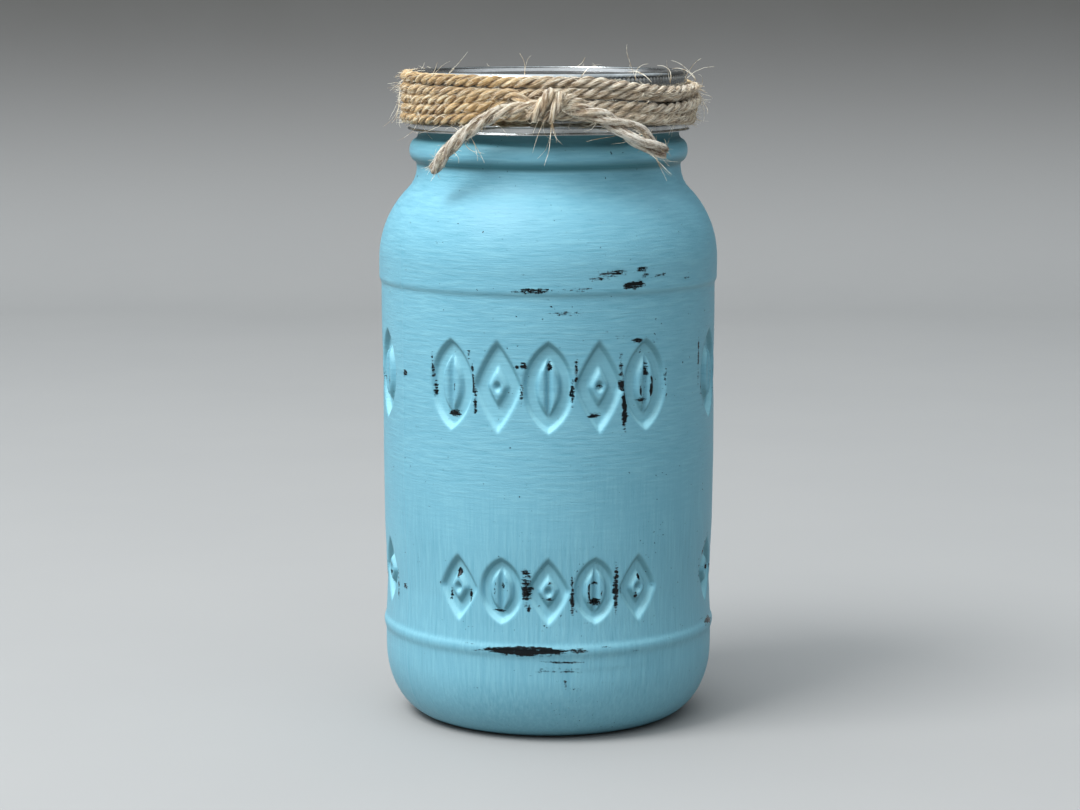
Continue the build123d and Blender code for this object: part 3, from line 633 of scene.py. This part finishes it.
def metal_material(name, light, dark, rough_low, rough_high, brush=(1, 1, 0.05), spots=0.5):
    """Rolled or plated metal with fine drawing lines and stains."""
    g = Graph(name)
    lines = g.noise(2400, 4, 0.6, stretch=brush)
    stain = g.noise(90, 6, 0.65)
    colour = g.layered(light, (stain, 0.42, 0.7, 0.0, spots, dark), (lines, 0.35, 0.65, 0.0, 0.25, dark))
    rough = g.add(g.ramp(stain, 0.35, 0.7, rough_low, rough_high), g.ramp(lines, 0.3, 0.7, 0.0, 0.06))
    g.set(Base_Color=colour, Metallic=1.0, Roughness=rough,
          Normal=g.bump(g.add(lines, g.times(stain, 0.5)), 0.12, 0.0001))
    return g.material


band = make_band()
band.data.materials.append(metal_material("band_tinplate", rgb(0.52, 0.53, 0.52), rgb(0.17, 0.175, 0.175),
                                          0.12, 0.24, brush=(0.1, 0.1, 1.0)))
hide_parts("screw_band")
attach(band, "band")

# ---- jute twine
TWINE, PLY = 2.8, 1.52  # thickness of the twine and of each of its plies
PLIES, PLY_RADIUS = 3, 0.74  # the plies' middles lie this far from the twine's
LAY, TAIL_LAY = 10.0, 19.0  # one turn of the plies, in the wraps and in the tails
WRAP_R = 37.85
POINT_STEP = 18  # degrees between the route's points round the band
TAIL_LEFT = [(-4.1, -41.3, 163.3), (-11.1, -40.4, 162.6), (-17.6, -38.6, 159.1),
             (-22.6, -36.3, 155.0), (-26.5, -33.7, 150.8), (-29.1, -31.4, 146.8)]
TAIL_RIGHT = [(6.1, -41.2, 162.9), (12.3, -40.5, 161.4), (18.1, -38.7, 158.3),
              (23.4, -36.4, 155.0), (29.3, -31.9, 151.2)]
# One end passes in front into the turns; the other is wound twice round it, leaning to the right.
KNOT_IN = [(0.4, -42.0, 163.9), (3.6, -41.6, 164.6), (5.6, -40.4, 165.0), (8.0, -38.8, 163.6)]
KNOT_OUT = [(-7.6, -38.6, 165.6), (-4.8, -39.6, 163.4), (-4.4, -41.6, 160.6), (-3.4, -43.6, 161.2),
            (-1.6, -44.3, 163.8), (0.2, -43.3, 166.6), (0.4, -41.2, 167.0), (-1.2, -39.6, 164.0),
            (-1.0, -41.0, 160.2), (0.2, -43.3, 160.4), (1.8, -43.9, 163.2), (3.2, -42.6, 166.0),
            (3.4, -40.6, 165.6), (3.6, -40.2, 163.2)]
# Each turn of the wrap, from the knot round to the right: angle from the front in degrees, height,
# and how far it is pushed out. The turns cross and overlap at the right, where they are slack.
WRAP_TURNS = [
    [(16, 162.4, 0.3), (34, 160.2, 0.2), (52, 159.1, 0.1), (80, 158.8, 0), (180, 158.8, 0),
     (300, 159.2, 0)],
    [(0, 161.2, 0), (30, 160.6, 0), (52, 159.9, 0), (80, 161.1, 0.3), (120, 161.2, 0), (300, 161.6, 0)],
    [(0, 164.1, 0), (30, 163.2, 0), (48, 161.5, 0.4), (64, 161.7, 1.0), (80, 163.8, 1.6),
     (105, 163.9, 0.6), (140, 163.8, 0), (300, 164.1, 0)],
    [(0, 166.6, 0), (26, 166.4, 0), (42, 165.5, -0.2), (60, 165.2, -0.3), (85, 165.2, -0.2),
     (105, 166.6, 0.9), (125, 168.2, 1.3), (150, 169.4, 0.2), (180, 169.6, 0), (300, 169.6, 0)],
    [(0, 169.2, 0), (16, 169.3, 0.1), (28, 168.5, 0.3), (44, 166.6, 0.7), (60, 166.1, 1.0),
     (80, 166.7, 0.9), (105, 166.4, 0.0), (180, 166.6, 0), (300, 166.7, 0), (346, 166.2, 0.2)],
]


def turn_points():
    """The five turns of the wrap, one after another, a little uneven."""
    places = [(360 * lap + angle, level, out)
              for lap, turn in enumerate(WRAP_TURNS) for angle, level, out in turn]
    angles, levels, outs = zip(*places)
    count = int((angles[-1] - angles[0]) / POINT_STEP) + 1
    points = []
    for along in np.linspace(angles[0], angles[-1], count):
        level = np.interp(along, angles, levels) + dice.uniform(-0.16, 0.16)
        radius = WRAP_R + np.interp(along, angles, outs) + dice.uniform(-0.1, 0.16)
        turn = math.radians(along)
        points.append((radius * math.sin(turn), -radius * math.cos(turn), float(level)))
    return points


twine_route = TAIL_LEFT[::-1] + KNOT_IN + turn_points() + KNOT_OUT + TAIL_RIGHT


def route_line(name, points):
    """The points, in metres, of the smooth line that a route makes."""
    data = bpy.data.curves.new(name, "CURVE")
    data.dimensions = "3D"
    data.resolution_u = 12
    spline = data.splines.new("NURBS")
    spline.points.add(len(points) - 1)
    for point, place in zip(spline.points, points):
        point.co = (place[0] * MM, place[1] * MM, place[2] * MM, 1)
    spline.order_u = 3
    spline.use_endpoint_u = True
    holder = bpy.data.objects.new(name, data)
    bpy.context.scene.collection.objects.link(holder)
    bpy.context.view_layer.update()
    shape = bpy.data.meshes.new_from_object(holder)
    line = np.array([v.co for v in shape.vertices])
    bpy.data.objects.remove(holder)
    bpy.data.curves.remove(data)
    bpy.data.meshes.remove(shape)
    return line


def even_points(line, step):
    """The same line with points at even distances, and how far along it each one is."""
    along = np.concatenate([[0], np.cumsum(np.linalg.norm(np.diff(line, axis=0), axis=1))])
    places = np.linspace(0, along[-1], int(along[-1] / step) + 1)
    return np.stack([np.interp(places, along, line[:, i]) for i in range(3)], axis=1), places


def unit(vectors):
    return vectors / np.linalg.norm(vectors, axis=-1, keepdims=True)


def carried_frames(points):
    """A line's direction at each point, and two across it that are carried along without twist."""
    tangents = unit(np.gradient(points, axis=0))
    normal = np.cross(tangents[0], (0.0, 0.0, 1.0))
    normals = []
    for tangent in tangents:
        normal = unit(normal - tangent * np.dot(normal, tangent))
        normals.append(normal)
    normals = np.array(normals)
    return tangents, normals, np.cross(tangents, normals)


def tube(points, normals, binormals, radii, sides):
    """Rings of points round a line. radii has a row for each point and a column for each side."""
    angles = np.linspace(0, math.tau, sides, endpoint=False)[None, :, None]
    across = np.cos(angles) * normals[:, None, :] + np.sin(angles) * binormals[:, None, :]
    return points[:, None, :] + across * radii[:, :, None]


def ripple(count, wavelength):
    """Smooth noise between -1 and 1 along a line."""
    knots = rng.uniform(-1, 1, int(count / wavelength) + 4)
    places = np.arange(count) / wavelength
    low = places.astype(int)
    part = smooth_step(places - low)
    return knots[low] * (1 - part) + knots[low + 1] * part


TWINE_STEP = 0.42 * MM
PLY_SIDES = 16
TAIL_LENGTH = 30 * MM
SPINDLE_PLACE, SPINDLE_REACH = 9.5 * MM, 4.8 * MM  # where the right tail's plies have come apart
SPINDLE_OPENING, TAIL_SWELLING, RIGHT_TAIL_SWELLING = 1.5, 0.2, 0.22


def make_twine():
    """Three twisted plies that follow the route's smooth line."""
    path, along = even_points(route_line("twine_route", twine_route), TWINE_STEP)
    count = len(path)
    total = along[-1]
    tangents, normals, binormals = carried_frames(path)
    to_left, to_right = along, total - along
    to_end = np.minimum(to_left, to_right)
    # The right end's plies have come apart into a hollow spindle, and both ends are a little open.
    spindle = np.exp(-(((to_right - SPINDLE_PLACE) / SPINDLE_REACH) ** 2))
    tails = np.exp(-((to_end / TAIL_LENGTH) ** 6))
    thick = 1 + TAIL_SWELLING * tails + RIGHT_TAIL_SWELLING * tails * (to_right < to_left)
    opened = thick + SPINDLE_OPENING * spindle
    turns_a_mm = (1 / LAY + (1 / TAIL_LAY - 1 / LAY) * tails) * (1 - 0.8 * spindle)
    twist = -math.tau * np.cumsum(TWINE_STEP / MM * turns_a_mm)
    # One ply lies uppermost in the middle of the spindle.
    middle = int(np.argmax(spindle))
    twist += math.atan2(binormals[middle][2], normals[middle][2]) - twist[middle]
    points, faces, yarn, crevice_shade = [], [], [], []
    for ply in range(PLIES):
        phase = twist + math.tau * ply / PLIES + 0.2 * ripple(count, 26)
        away = PLY_RADIUS * MM * opened * (1 + 0.07 * ripple(count, 20))
        centre = path + (np.cos(phase) * away)[:, None] * normals
        centre = centre + (np.sin(phase) * away)[:, None] * binormals
        _, ply_normal, ply_binormal = carried_frames(centre)
        size = PLY / 2 * MM * (thick + 0.13 * ripple(count, 12))
        size = size * (1 - 0.25 * np.exp(-to_right / (2.0 * MM)) - 0.15 * np.exp(-to_left / (1.2 * MM)))
        lobes = np.stack([ripple(count, 16) for _ in range(PLY_SIDES)], axis=1) * 0.15
        nubs = 0.05 * ripple(count, 5)[:, None] + rng.normal(0, 0.025, (count, PLY_SIDES))
        radii = size[:, None] * (1 + lobes + nubs)
        first = ply * count * PLY_SIDES
        rings = tube(centre, ply_normal, ply_binormal, radii, PLY_SIDES).reshape(-1, 3)
        points.append(rings)
        faces += (np.array(grid_faces(count, PLY_SIDES)) + first).tolist()
        faces.append([first + i for i in reversed(range(PLY_SIDES))])
        faces.append([first + (count - 1) * PLY_SIDES + i for i in range(PLY_SIDES)])
        reach = np.linalg.norm(rings.reshape(count, PLY_SIDES, 3) - path[:, None, :], axis=2)
        # Painted shade: each ply is darkened where it turns in towards the twine's middle, between the
        # plies.
        crevice_shade.append(smooth_step((1.42 * MM * thick[:, None] - reach) / (0.55 * MM)).ravel())
        # The fibres' own coordinates: along the ply, and across it. Each ply has its own stretch.
        angle = np.tile(np.linspace(0, math.tau, PLY_SIDES, endpoint=False), (count, 1))
        stretch = np.repeat(along[:, None], PLY_SIDES, 1) + ply * 0.37
        across = PLY / 2 * MM
        yarn.append(np.stack([stretch, np.cos(angle) * across, np.sin(angle) * across], axis=-1))
    twine = mesh_object("jute_twine", np.concatenate(points), faces)
    store(twine, "yarn", np.concatenate(yarn), "FLOAT_VECTOR", "vector")
    # The attribute dark holds both the painted shade between the plies and the dark brown cut ends.
    cut = np.exp(-to_end / (0.7 * MM))
    cut = np.tile(np.repeat(cut, PLY_SIDES), PLIES)
    store(twine, "dark", np.maximum(np.concatenate(crevice_shade), cut))
    turn = np.degrees(np.arctan2(path[:, 0], -path[:, 1]))
    greyed = 0.7 * smooth_step((turn + 25) / 35) * smooth_step((110 - turn) / 40)
    faded = np.maximum(greyed, np.minimum(1, np.exp(-to_end / TAIL_LENGTH) * 1.8))
    store(twine, "faded", np.tile(np.repeat(faded, PLY_SIDES), PLIES))
    return twine, path, total, (tangents, normals, binormals)


def jute_material():
    """Jute: pale and brown fibres along each ply, with painted shade between the plies."""
    g = Graph("jute")
    yarn = g.attribute("yarn", "Vector")
    fibre = g.noise(1900, 6, 0.8, stretch=(0.13, 1, 1), place=yarn)
    tone = g.noise(800, 5, 0.7, stretch=(0.3, 1, 1), place=yarn)
    brown, straw, pale = rgb(0.44, 0.24, 0.08), rgb(0.84, 0.54, 0.225), rgb(1.0, 0.88, 0.6)
    colour = g.layered(
        g.mix(g.ramp(tone, 0.4, 0.56), brown, straw),
        (fibre, 0.5, 0.6, 0.0, 1.0, pale),
        (fibre, 0.4, 0.47, 0.9, 0.0, rgb(0.12, 0.056, 0.022)),
        (g.noise(70, 3, 0.5), 0.42, 0.62, 0.0, 0.25, straw))
    faded = g.mix(g.ramp(fibre, 0.41, 0.55), rgb(0.32, 0.24, 0.165), rgb(1.0, 0.96, 0.86))
    colour = g.mix(g.times(g.attribute("faded"), 0.8), colour, faded)
    # Painted shade between the plies, and the dark cut ends, from the attribute dark.
    shade = g.times(g.attribute("dark"), g.ramp(fibre, 0.4, 0.56, 0.95, 0.55))
    colour = g.mix(shade, colour, rgb(0.13, 0.062, 0.024))
    g.set(Base_Color=colour, Roughness=0.82, Sheen_Weight=0.25, Sheen_Roughness=0.5, Specular_IOR_Level=0.2,
          Normal=g.bump(fibre, 1.0, 0.0012))
    return g.material


twine, twine_path, twine_length, twine_frames = make_twine()
twine.data.materials.append(jute_material())
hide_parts("twine_wrap", "twine_knot", "twine_tail_left", "twine_tail_right")
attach(twine, "band")

# ---- the twine's loose fibres
FUZZ_HAIRS, LONG_HAIRS = 4600, 430
HAIR_STEPS = 10
HAIR_TOP_Z, HAIR_LIMIT_R = 178.0, 49.0
# Long wisps: where each starts, the way it goes, its length and its curl.
WISPS = [
    ((-1, -43.6, 160.2), (-0.25, -0.1, -1), 9.5, 0.1), ((0.6, -43.8, 160.4), (0.12, -0.1, -1), 12, -0.08),
    ((0.8, -43.6, 160), (0.3, -0.2, -1), 7, 0.22), ((-2.4, -43.6, 160.8), (-0.5, -0.2, -1), 5, 0.2),
    ((-19.5, -37, 155.4), (0.8, -0.2, -1), 8, 0.05), ((-21, -36.4, 154), (0.35, -0.3, -1), 6, -0.3),
    ((-24, -36, 151.6), (1, -0.2, -0.5), 6, 0.3), ((-33.5, -19.5, 161), (0.15, -0.2, -1), 10, 0.1),
    ((-38.6, -6, 168), (-0.25, -0.2, -1), 11, 0.02), ((-38.6, -8, 164), (-0.3, -0.1, -1), 9, 0.05),
    ((-30, -24, 170), (0.6, 0, 1), 8, 0.15), ((-26, -28, 170.4), (0.8, 0, 0.8), 9, 0.1),
    ((-35, -14, 170.4), (0.5, 0, 1), 6, 0.3), ((-6, -38, 170.4), (0.1, 0, 1), 6.5, -0.1),
    ((8, -38, 170.4), (0.9, 0, 1), 9, -0.25), ((22, -31.5, 169.6), (-0.3, 0, 1), 9.5, 0.15),
    ((26, -29, 169), (-0.5, -0.2, 1), 9, 0.3), ((31, -23, 168.6), (0.2, 0, 1), 9, -0.2),
    ((35, -15, 168.8), (0.4, 0, 1), 10, 0.25), ((38.5, -5, 168.6), (-0.2, -0.1, 1), 9, 0.3),
    ((39.5, -6, 166), (0.4, -0.3, 1), 9, 0.42), ((40.4, -5, 163), (0.2, -0.3, -1), 7, 0.3),
    ((24, -31.6, 166.4), (0.1, -0.5, -1), 9.5, 0.5), ((25.5, -30.6, 164.4), (-0.2, -0.5, -1), 8, 0.6),
    ((33.5, -20, 163), (0.2, -0.4, -1), 8.5, 0.12), ((20.5, -36.6, 156.6), (-1, -0.3, 0.1), 12, 0.04),
    ((26, -34, 152.4), (0.5, -0.4, -1), 9, -0.12), ((24, -35, 153), (0.2, -0.4, -1), 11, 0.03),
    ((29.6, -32.4, 152.6), (0.6, 0, 1), 3.5, 0.1), ((12, -41, 160.2), (-0.2, -0.2, -1), 5.5, 0.2),
    ((-12, -41.4, 163.4), (-0.4, -0.3, 1), 5, 0.2), ((4, -43, 165.8), (0.8, -0.3, 0.6), 5, 0.3),
]


def hair(start, direction, length, sag, bend, wander):
    """One thin fibre that leaves the twine, curls and falls a little."""
    side = unit(np.cross(direction, (0, 0, 1.0)) + 1e-6)  # not 0 even for a fibre that points up
    points = []
    place, heading = np.array(start), np.array(direction)
    for _ in range(HAIR_STEPS):
        points.append(place)
        bend += dice.gauss(0, wander)
        heading = unit(heading + side * bend + np.array((0, 0, dice.gauss(-sag, wander))))
        place = place + heading * length / (HAIR_STEPS - 1)
    return np.array(points)


def grown_hair(spot, length, wander):
    """A fibre that grows out of the twine, or None where it would hit the band or reach too far."""
    tangents, normals, binormals = twine_frames
    angle = dice.uniform(0, math.tau)
    out = normals[spot] * math.cos(angle) + binormals[spot] * math.sin(angle)
    centre = twine_path[spot]
    from_axis = unit(np.array((centre[0], centre[1], 0.0)))
    if np.dot(out, from_axis) < -0.15:
        out = -out
    lean = tangents[spot] * dice.choice((-1, 1)) * dice.uniform(0.8, 3.6)
    direction = unit(out + lean + np.array([dice.gauss(0, 0.25) for _ in range(3)]))
    line = hair(centre + out * TWINE / 2 * 0.85 * MM, direction, length, dice.uniform(0.0, 0.1),
                dice.gauss(0, 0.24), wander)
    reach = np.hypot(line[:, 0], line[:, 1])
    if reach.max() > HAIR_LIMIT_R * MM or line[:, 2].max() > HAIR_TOP_Z * MM:
        return None
    if reach.min() < (BAND_R + 0.3) * MM and line[:, 2].min() < BAND_TOP_Z * MM:
        return None
    return line


def make_fuzz():
    """The fuzz all over the twine, thickest near its ends, and the long wisps."""
    count = len(twine_path)
    ends = int(38 * MM / TWINE_STEP)
    lines = []
    for i in range(FUZZ_HAIRS + LONG_HAIRS):
        is_long = i >= FUZZ_HAIRS
        spot = dice.randrange(count)
        if i % 5 == 0:
            spot = dice.randrange(ends) if dice.random() < 0.5 else count - 1 - dice.randrange(ends)
        length = 2.5 + min(8.0, dice.expovariate(1 / 2.4)) if is_long else dice.uniform(0.7, 2.6)
        line = grown_hair(spot, length * MM, 0.2 if is_long else 0.05)
        if line is not None:
            lines.append((line, dice.uniform(0.04, 0.075) if is_long else dice.uniform(0.036, 0.068)))
    for start, direction, length, bend in WISPS:
        for thick in (0.085, 0.055):
            aim = unit(np.array([part + dice.gauss(0, 0.18) for part in direction]))
            line = hair(np.array(start) * MM, aim, length * MM, 0.02, bend * dice.uniform(0.6, 1.4), 0.09)
            lines.append((line, thick))
    points, faces, first = [], [], 0
    for line, thick in lines:
        _, across, up = carried_frames(line)
        taper = np.linspace(1, 0.4, HAIR_STEPS)[:, None] * np.ones((1, 3))
        rings = tube(line, across, up, thick * MM * taper, 3).reshape(-1, 3)
        points.append(rings)
        faces += (np.array(grid_faces(HAIR_STEPS, 3)) + first).tolist()
        faces.append([first + 2, first + 1, first])
        first += len(rings)
        faces.append([first - 3, first - 2, first - 1])
    return mesh_object("jute_fibres", np.concatenate(points), faces)


def fibre_material():
    g = Graph("jute_fibre")
    tone = g.noise(420, 3, 0.6)
    colour = g.mix(g.ramp(tone, 0.4, 0.56), rgb(0.46, 0.31, 0.15), rgb(1.0, 0.91, 0.72))
    g.set(Base_Color=colour, Roughness=0.6, Sheen_Weight=0.3, Normal=g.bump(g.noise(3000, 2), 0.3, 0.00002))
    return g.material


fuzz = make_fuzz()
fuzz.data.materials.append(fibre_material())
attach(fuzz, "band")


# ---- materials of the CAD nodes
def plastic_material(name, light, dark, rough, translucent=0.0, coat=0.0):
    """Moulded plastic: a slight mottle, fine texture and a few dull marks."""
    g = Graph(name)
    marks = g.noise(500, 6, 0.75, stretch=(1, 0.2, 1))
    colour = g.layered(light, (g.noise(60, 4, 0.6), 0.35, 0.7, 0.0, 1.0, dark),
                       (marks, 0.62, 0.75, 0.0, 0.25, dark))
    g.set(Base_Color=colour, Roughness=g.ramp(marks, 0.35, 0.75, rough, rough + 0.15), Coat_Weight=coat,
          Normal=g.bump(g.noise(2700, 3, 0.6), 0.12, 0.00012))
    if translucent:
        g.set(Subsurface_Weight=translucent, Subsurface_Radius=(0.004, 0.003, 0.002))
    return g.material


def epoxy_material():
    g = Graph("led_epoxy")
    g.set(Base_Color=g.mix(g.noise(80, 3), rgb(0.98, 0.9, 0.62), rgb(1, 1, 1)),
          Roughness=g.ramp(g.noise(300), 0.3, 0.7, 0.08, 0.18), Transmission_Weight=0.7, IOR=1.5,
          Normal=g.bump(g.noise(700, 3), 0.1, 0.0002))
    return g.material


def board_material():
    """A printed board: green mask over copper tracks."""
    g = Graph("board_mask")
    tracks = g.node("ShaderNodeTexBrick")
    g.put(tracks.inputs["Vector"], g.place)
    tracks.inputs["Scale"].default_value = 260
    tracks.inputs["Mortar Size"].default_value = 0.08
    colour = g.mix(tracks.outputs["Fac"], rgb(0.015, 0.12, 0.05), rgb(0.05, 0.27, 0.1))
    colour = g.mix(g.ramp(g.noise(900), 0.45, 0.65, 0.0, 0.3), colour, rgb(0.02, 0.1, 0.04))
    g.set(Base_Color=colour, Roughness=0.35, Coat_Weight=0.4,
          Normal=g.bump(tracks.outputs["Fac"], 0.3, 0.0001))
    return g.material


def rubber_material():
    g = Graph("sealing_compound")
    cloud = g.noise(200, 4, 0.6)
    g.set(Base_Color=g.mix(cloud, rgb(0.42, 0.11, 0.06), rgb(0.58, 0.19, 0.11)), Roughness=0.65,
          Normal=g.bump(g.noise(1500, 3), 0.2, 0.0001))
    return g.material


white = plastic_material("white_abs", rgb(0.84, 0.83, 0.78), rgb(0.74, 0.72, 0.66), 0.38, coat=0.1)
screw = metal_material("zinc_screw", rgb(0.6, 0.6, 0.62), rgb(0.34, 0.34, 0.36), 0.22, 0.4)
tinned = metal_material("tinned_wire", rgb(0.78, 0.78, 0.76), rgb(0.52, 0.52, 0.5), 0.2, 0.35)
brass = metal_material("spring_brass", rgb(0.8, 0.6, 0.28), rgb(0.5, 0.34, 0.14), 0.2, 0.4)
NODE_MATERIALS = {
    "lid_disc": metal_material("lid_tinplate", rgb(0.4, 0.39, 0.38), rgb(0.21, 0.205, 0.2), 0.15, 0.28,
                               brush=(0.05, 1, 1), spots=0.4),
    "lid_gasket": rubber_material(),
    "tealight_cup": white,
    "base_plate": white,
    "battery_door": white,
    "tealight_flame": plastic_material(
        "frosted_flame", rgb(0.95, 0.88, 0.7), rgb(0.9, 0.8, 0.58), 0.4, translucent=0.6),
    "base_screws": screw,
    "door_screw": screw,
    "coin_cell": metal_material("cell_can", rgb(0.72, 0.72, 0.7), rgb(0.5, 0.5, 0.48), 0.15, 0.3),
    "positive_contact": brass,
    "negative_contact": brass,
    "circuit_board": board_material(),
    "flicker_chip": plastic_material(
        "chip_resin", rgb(0.02, 0.02, 0.022), rgb(0.05, 0.05, 0.05), 0.25, coat=0.5),
    "led_lamp": epoxy_material(),
    "led_leads": tinned,
    "switch_pins": tinned,
    "switch_housing": metal_material("switch_case", rgb(0.62, 0.62, 0.62), rgb(0.4, 0.4, 0.4), 0.25, 0.4),
    "switch_lever": plastic_material("black_nylon", rgb(0.03, 0.03, 0.03), rgb(0.06, 0.06, 0.06), 0.4),
}
for node, material in NODE_MATERIALS.items():
    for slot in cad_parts[node].material_slots:
        slot.material = material

# ---- floor, backdrop and light
STAGE_HALF_WIDTH, STAGE_FRONT, STAGE_BACK, STAGE_HEIGHT, STAGE_BEND = 3.0, -3.0, 1.3, 1.1, 0.35
LIGHTS_AIM = (0, 0, 0.09)


def make_stage():
    """A pale floor that bends up into a backdrop."""
    side = [(STAGE_FRONT, 0.0)]
    side += arc((STAGE_BACK - STAGE_BEND, STAGE_BEND), (STAGE_BEND, STAGE_BEND), -90, 0, step=0.03)
    side += [(STAGE_BACK, STAGE_HEIGHT)]
    points = [(x, y, z) for y, z in side for x in (-STAGE_HALF_WIDTH, STAGE_HALF_WIDTH)]
    faces = [(2 * i, 2 * i + 1, 2 * i + 3, 2 * i + 2) for i in range(len(side) - 1)]
    stage = mesh_object("stage", points, faces)
    g = Graph("pale_stage")
    colour = g.mix(g.ramp(g.height(), 0.0, 0.2), rgb(0.31, 0.3, 0.288), rgb(0.085, 0.08, 0.073))
    cloud = g.ramp(g.noise(9, 3), 0.3, 0.7, 0.0, 0.06)
    g.set(Base_Color=g.mix(cloud, colour, rgb(0.2, 0.2, 0.2)), Roughness=0.8)
    stage.data.materials.append(g.material)


def soft_light(name, place, size, watts, colour=(1, 1, 1)):
    data = bpy.data.lights.new(name, "AREA")
    data.shape = "RECTANGLE"
    data.size, data.size_y = size
    data.energy = watts
    data.color = colour
    light = bpy.data.objects.new(name, data)
    light.location = place
    light.rotation_euler = (Vector(LIGHTS_AIM) - Vector(place)).to_track_quat("-Z", "Y").to_euler()
    bpy.context.scene.collection.objects.link(light)


def make_sky():
    """A soft dome: bright overhead, dim at the horizon, brighter to the left and a little in front."""
    world = bpy.data.worlds.new("studio")
    world.use_nodes = True
    tree = world.node_tree
    place = tree.nodes.new("ShaderNodeTexCoord")
    split = tree.nodes.new("ShaderNodeSeparateXYZ")
    tree.links.new(place.outputs["Generated"], split.inputs[0])

    def ranged(axis, numbers, kind="LINEAR"):
        made = tree.nodes.new("ShaderNodeMapRange")
        made.interpolation_type = kind
        for key, number in zip(RANGE_SOCKETS, numbers):
            made.inputs[key].default_value = number
        tree.links.new(split.outputs[axis], made.inputs["Value"])
        return made.outputs[0]

    def joined(operation, a, b):
        made = tree.nodes.new("ShaderNodeMath")
        made.operation = operation
        tree.links.new(a, made.inputs[0])
        tree.links.new(b, made.inputs[1])
        return made.outputs[0]

    overhead = ranged("Z", (0.1, 0.95, 0.09, 2.02), "SMOOTHSTEP")
    dome = joined("ADD", overhead, ranged("Y", (-1.0, -0.3, 0.26, 0.0)))
    background = tree.nodes["Background"]
    background.inputs["Color"].default_value = (0.84, 0.93, 1.0, 1)
    strength = joined("MULTIPLY", dome, ranged("X", (-1.0, 1.0, 1.4, 0.38)))
    tree.links.new(strength, background.inputs["Strength"])
    bpy.context.scene.world = world


make_stage()
make_sky()
soft_light("key", (-0.8, -0.6, 1.5), (0.8, 0.7), 33, (0.94, 0.97, 1.0))
soft_light("front", (-0.55, -1.5, 1.5), (1.2, 0.5), 6)
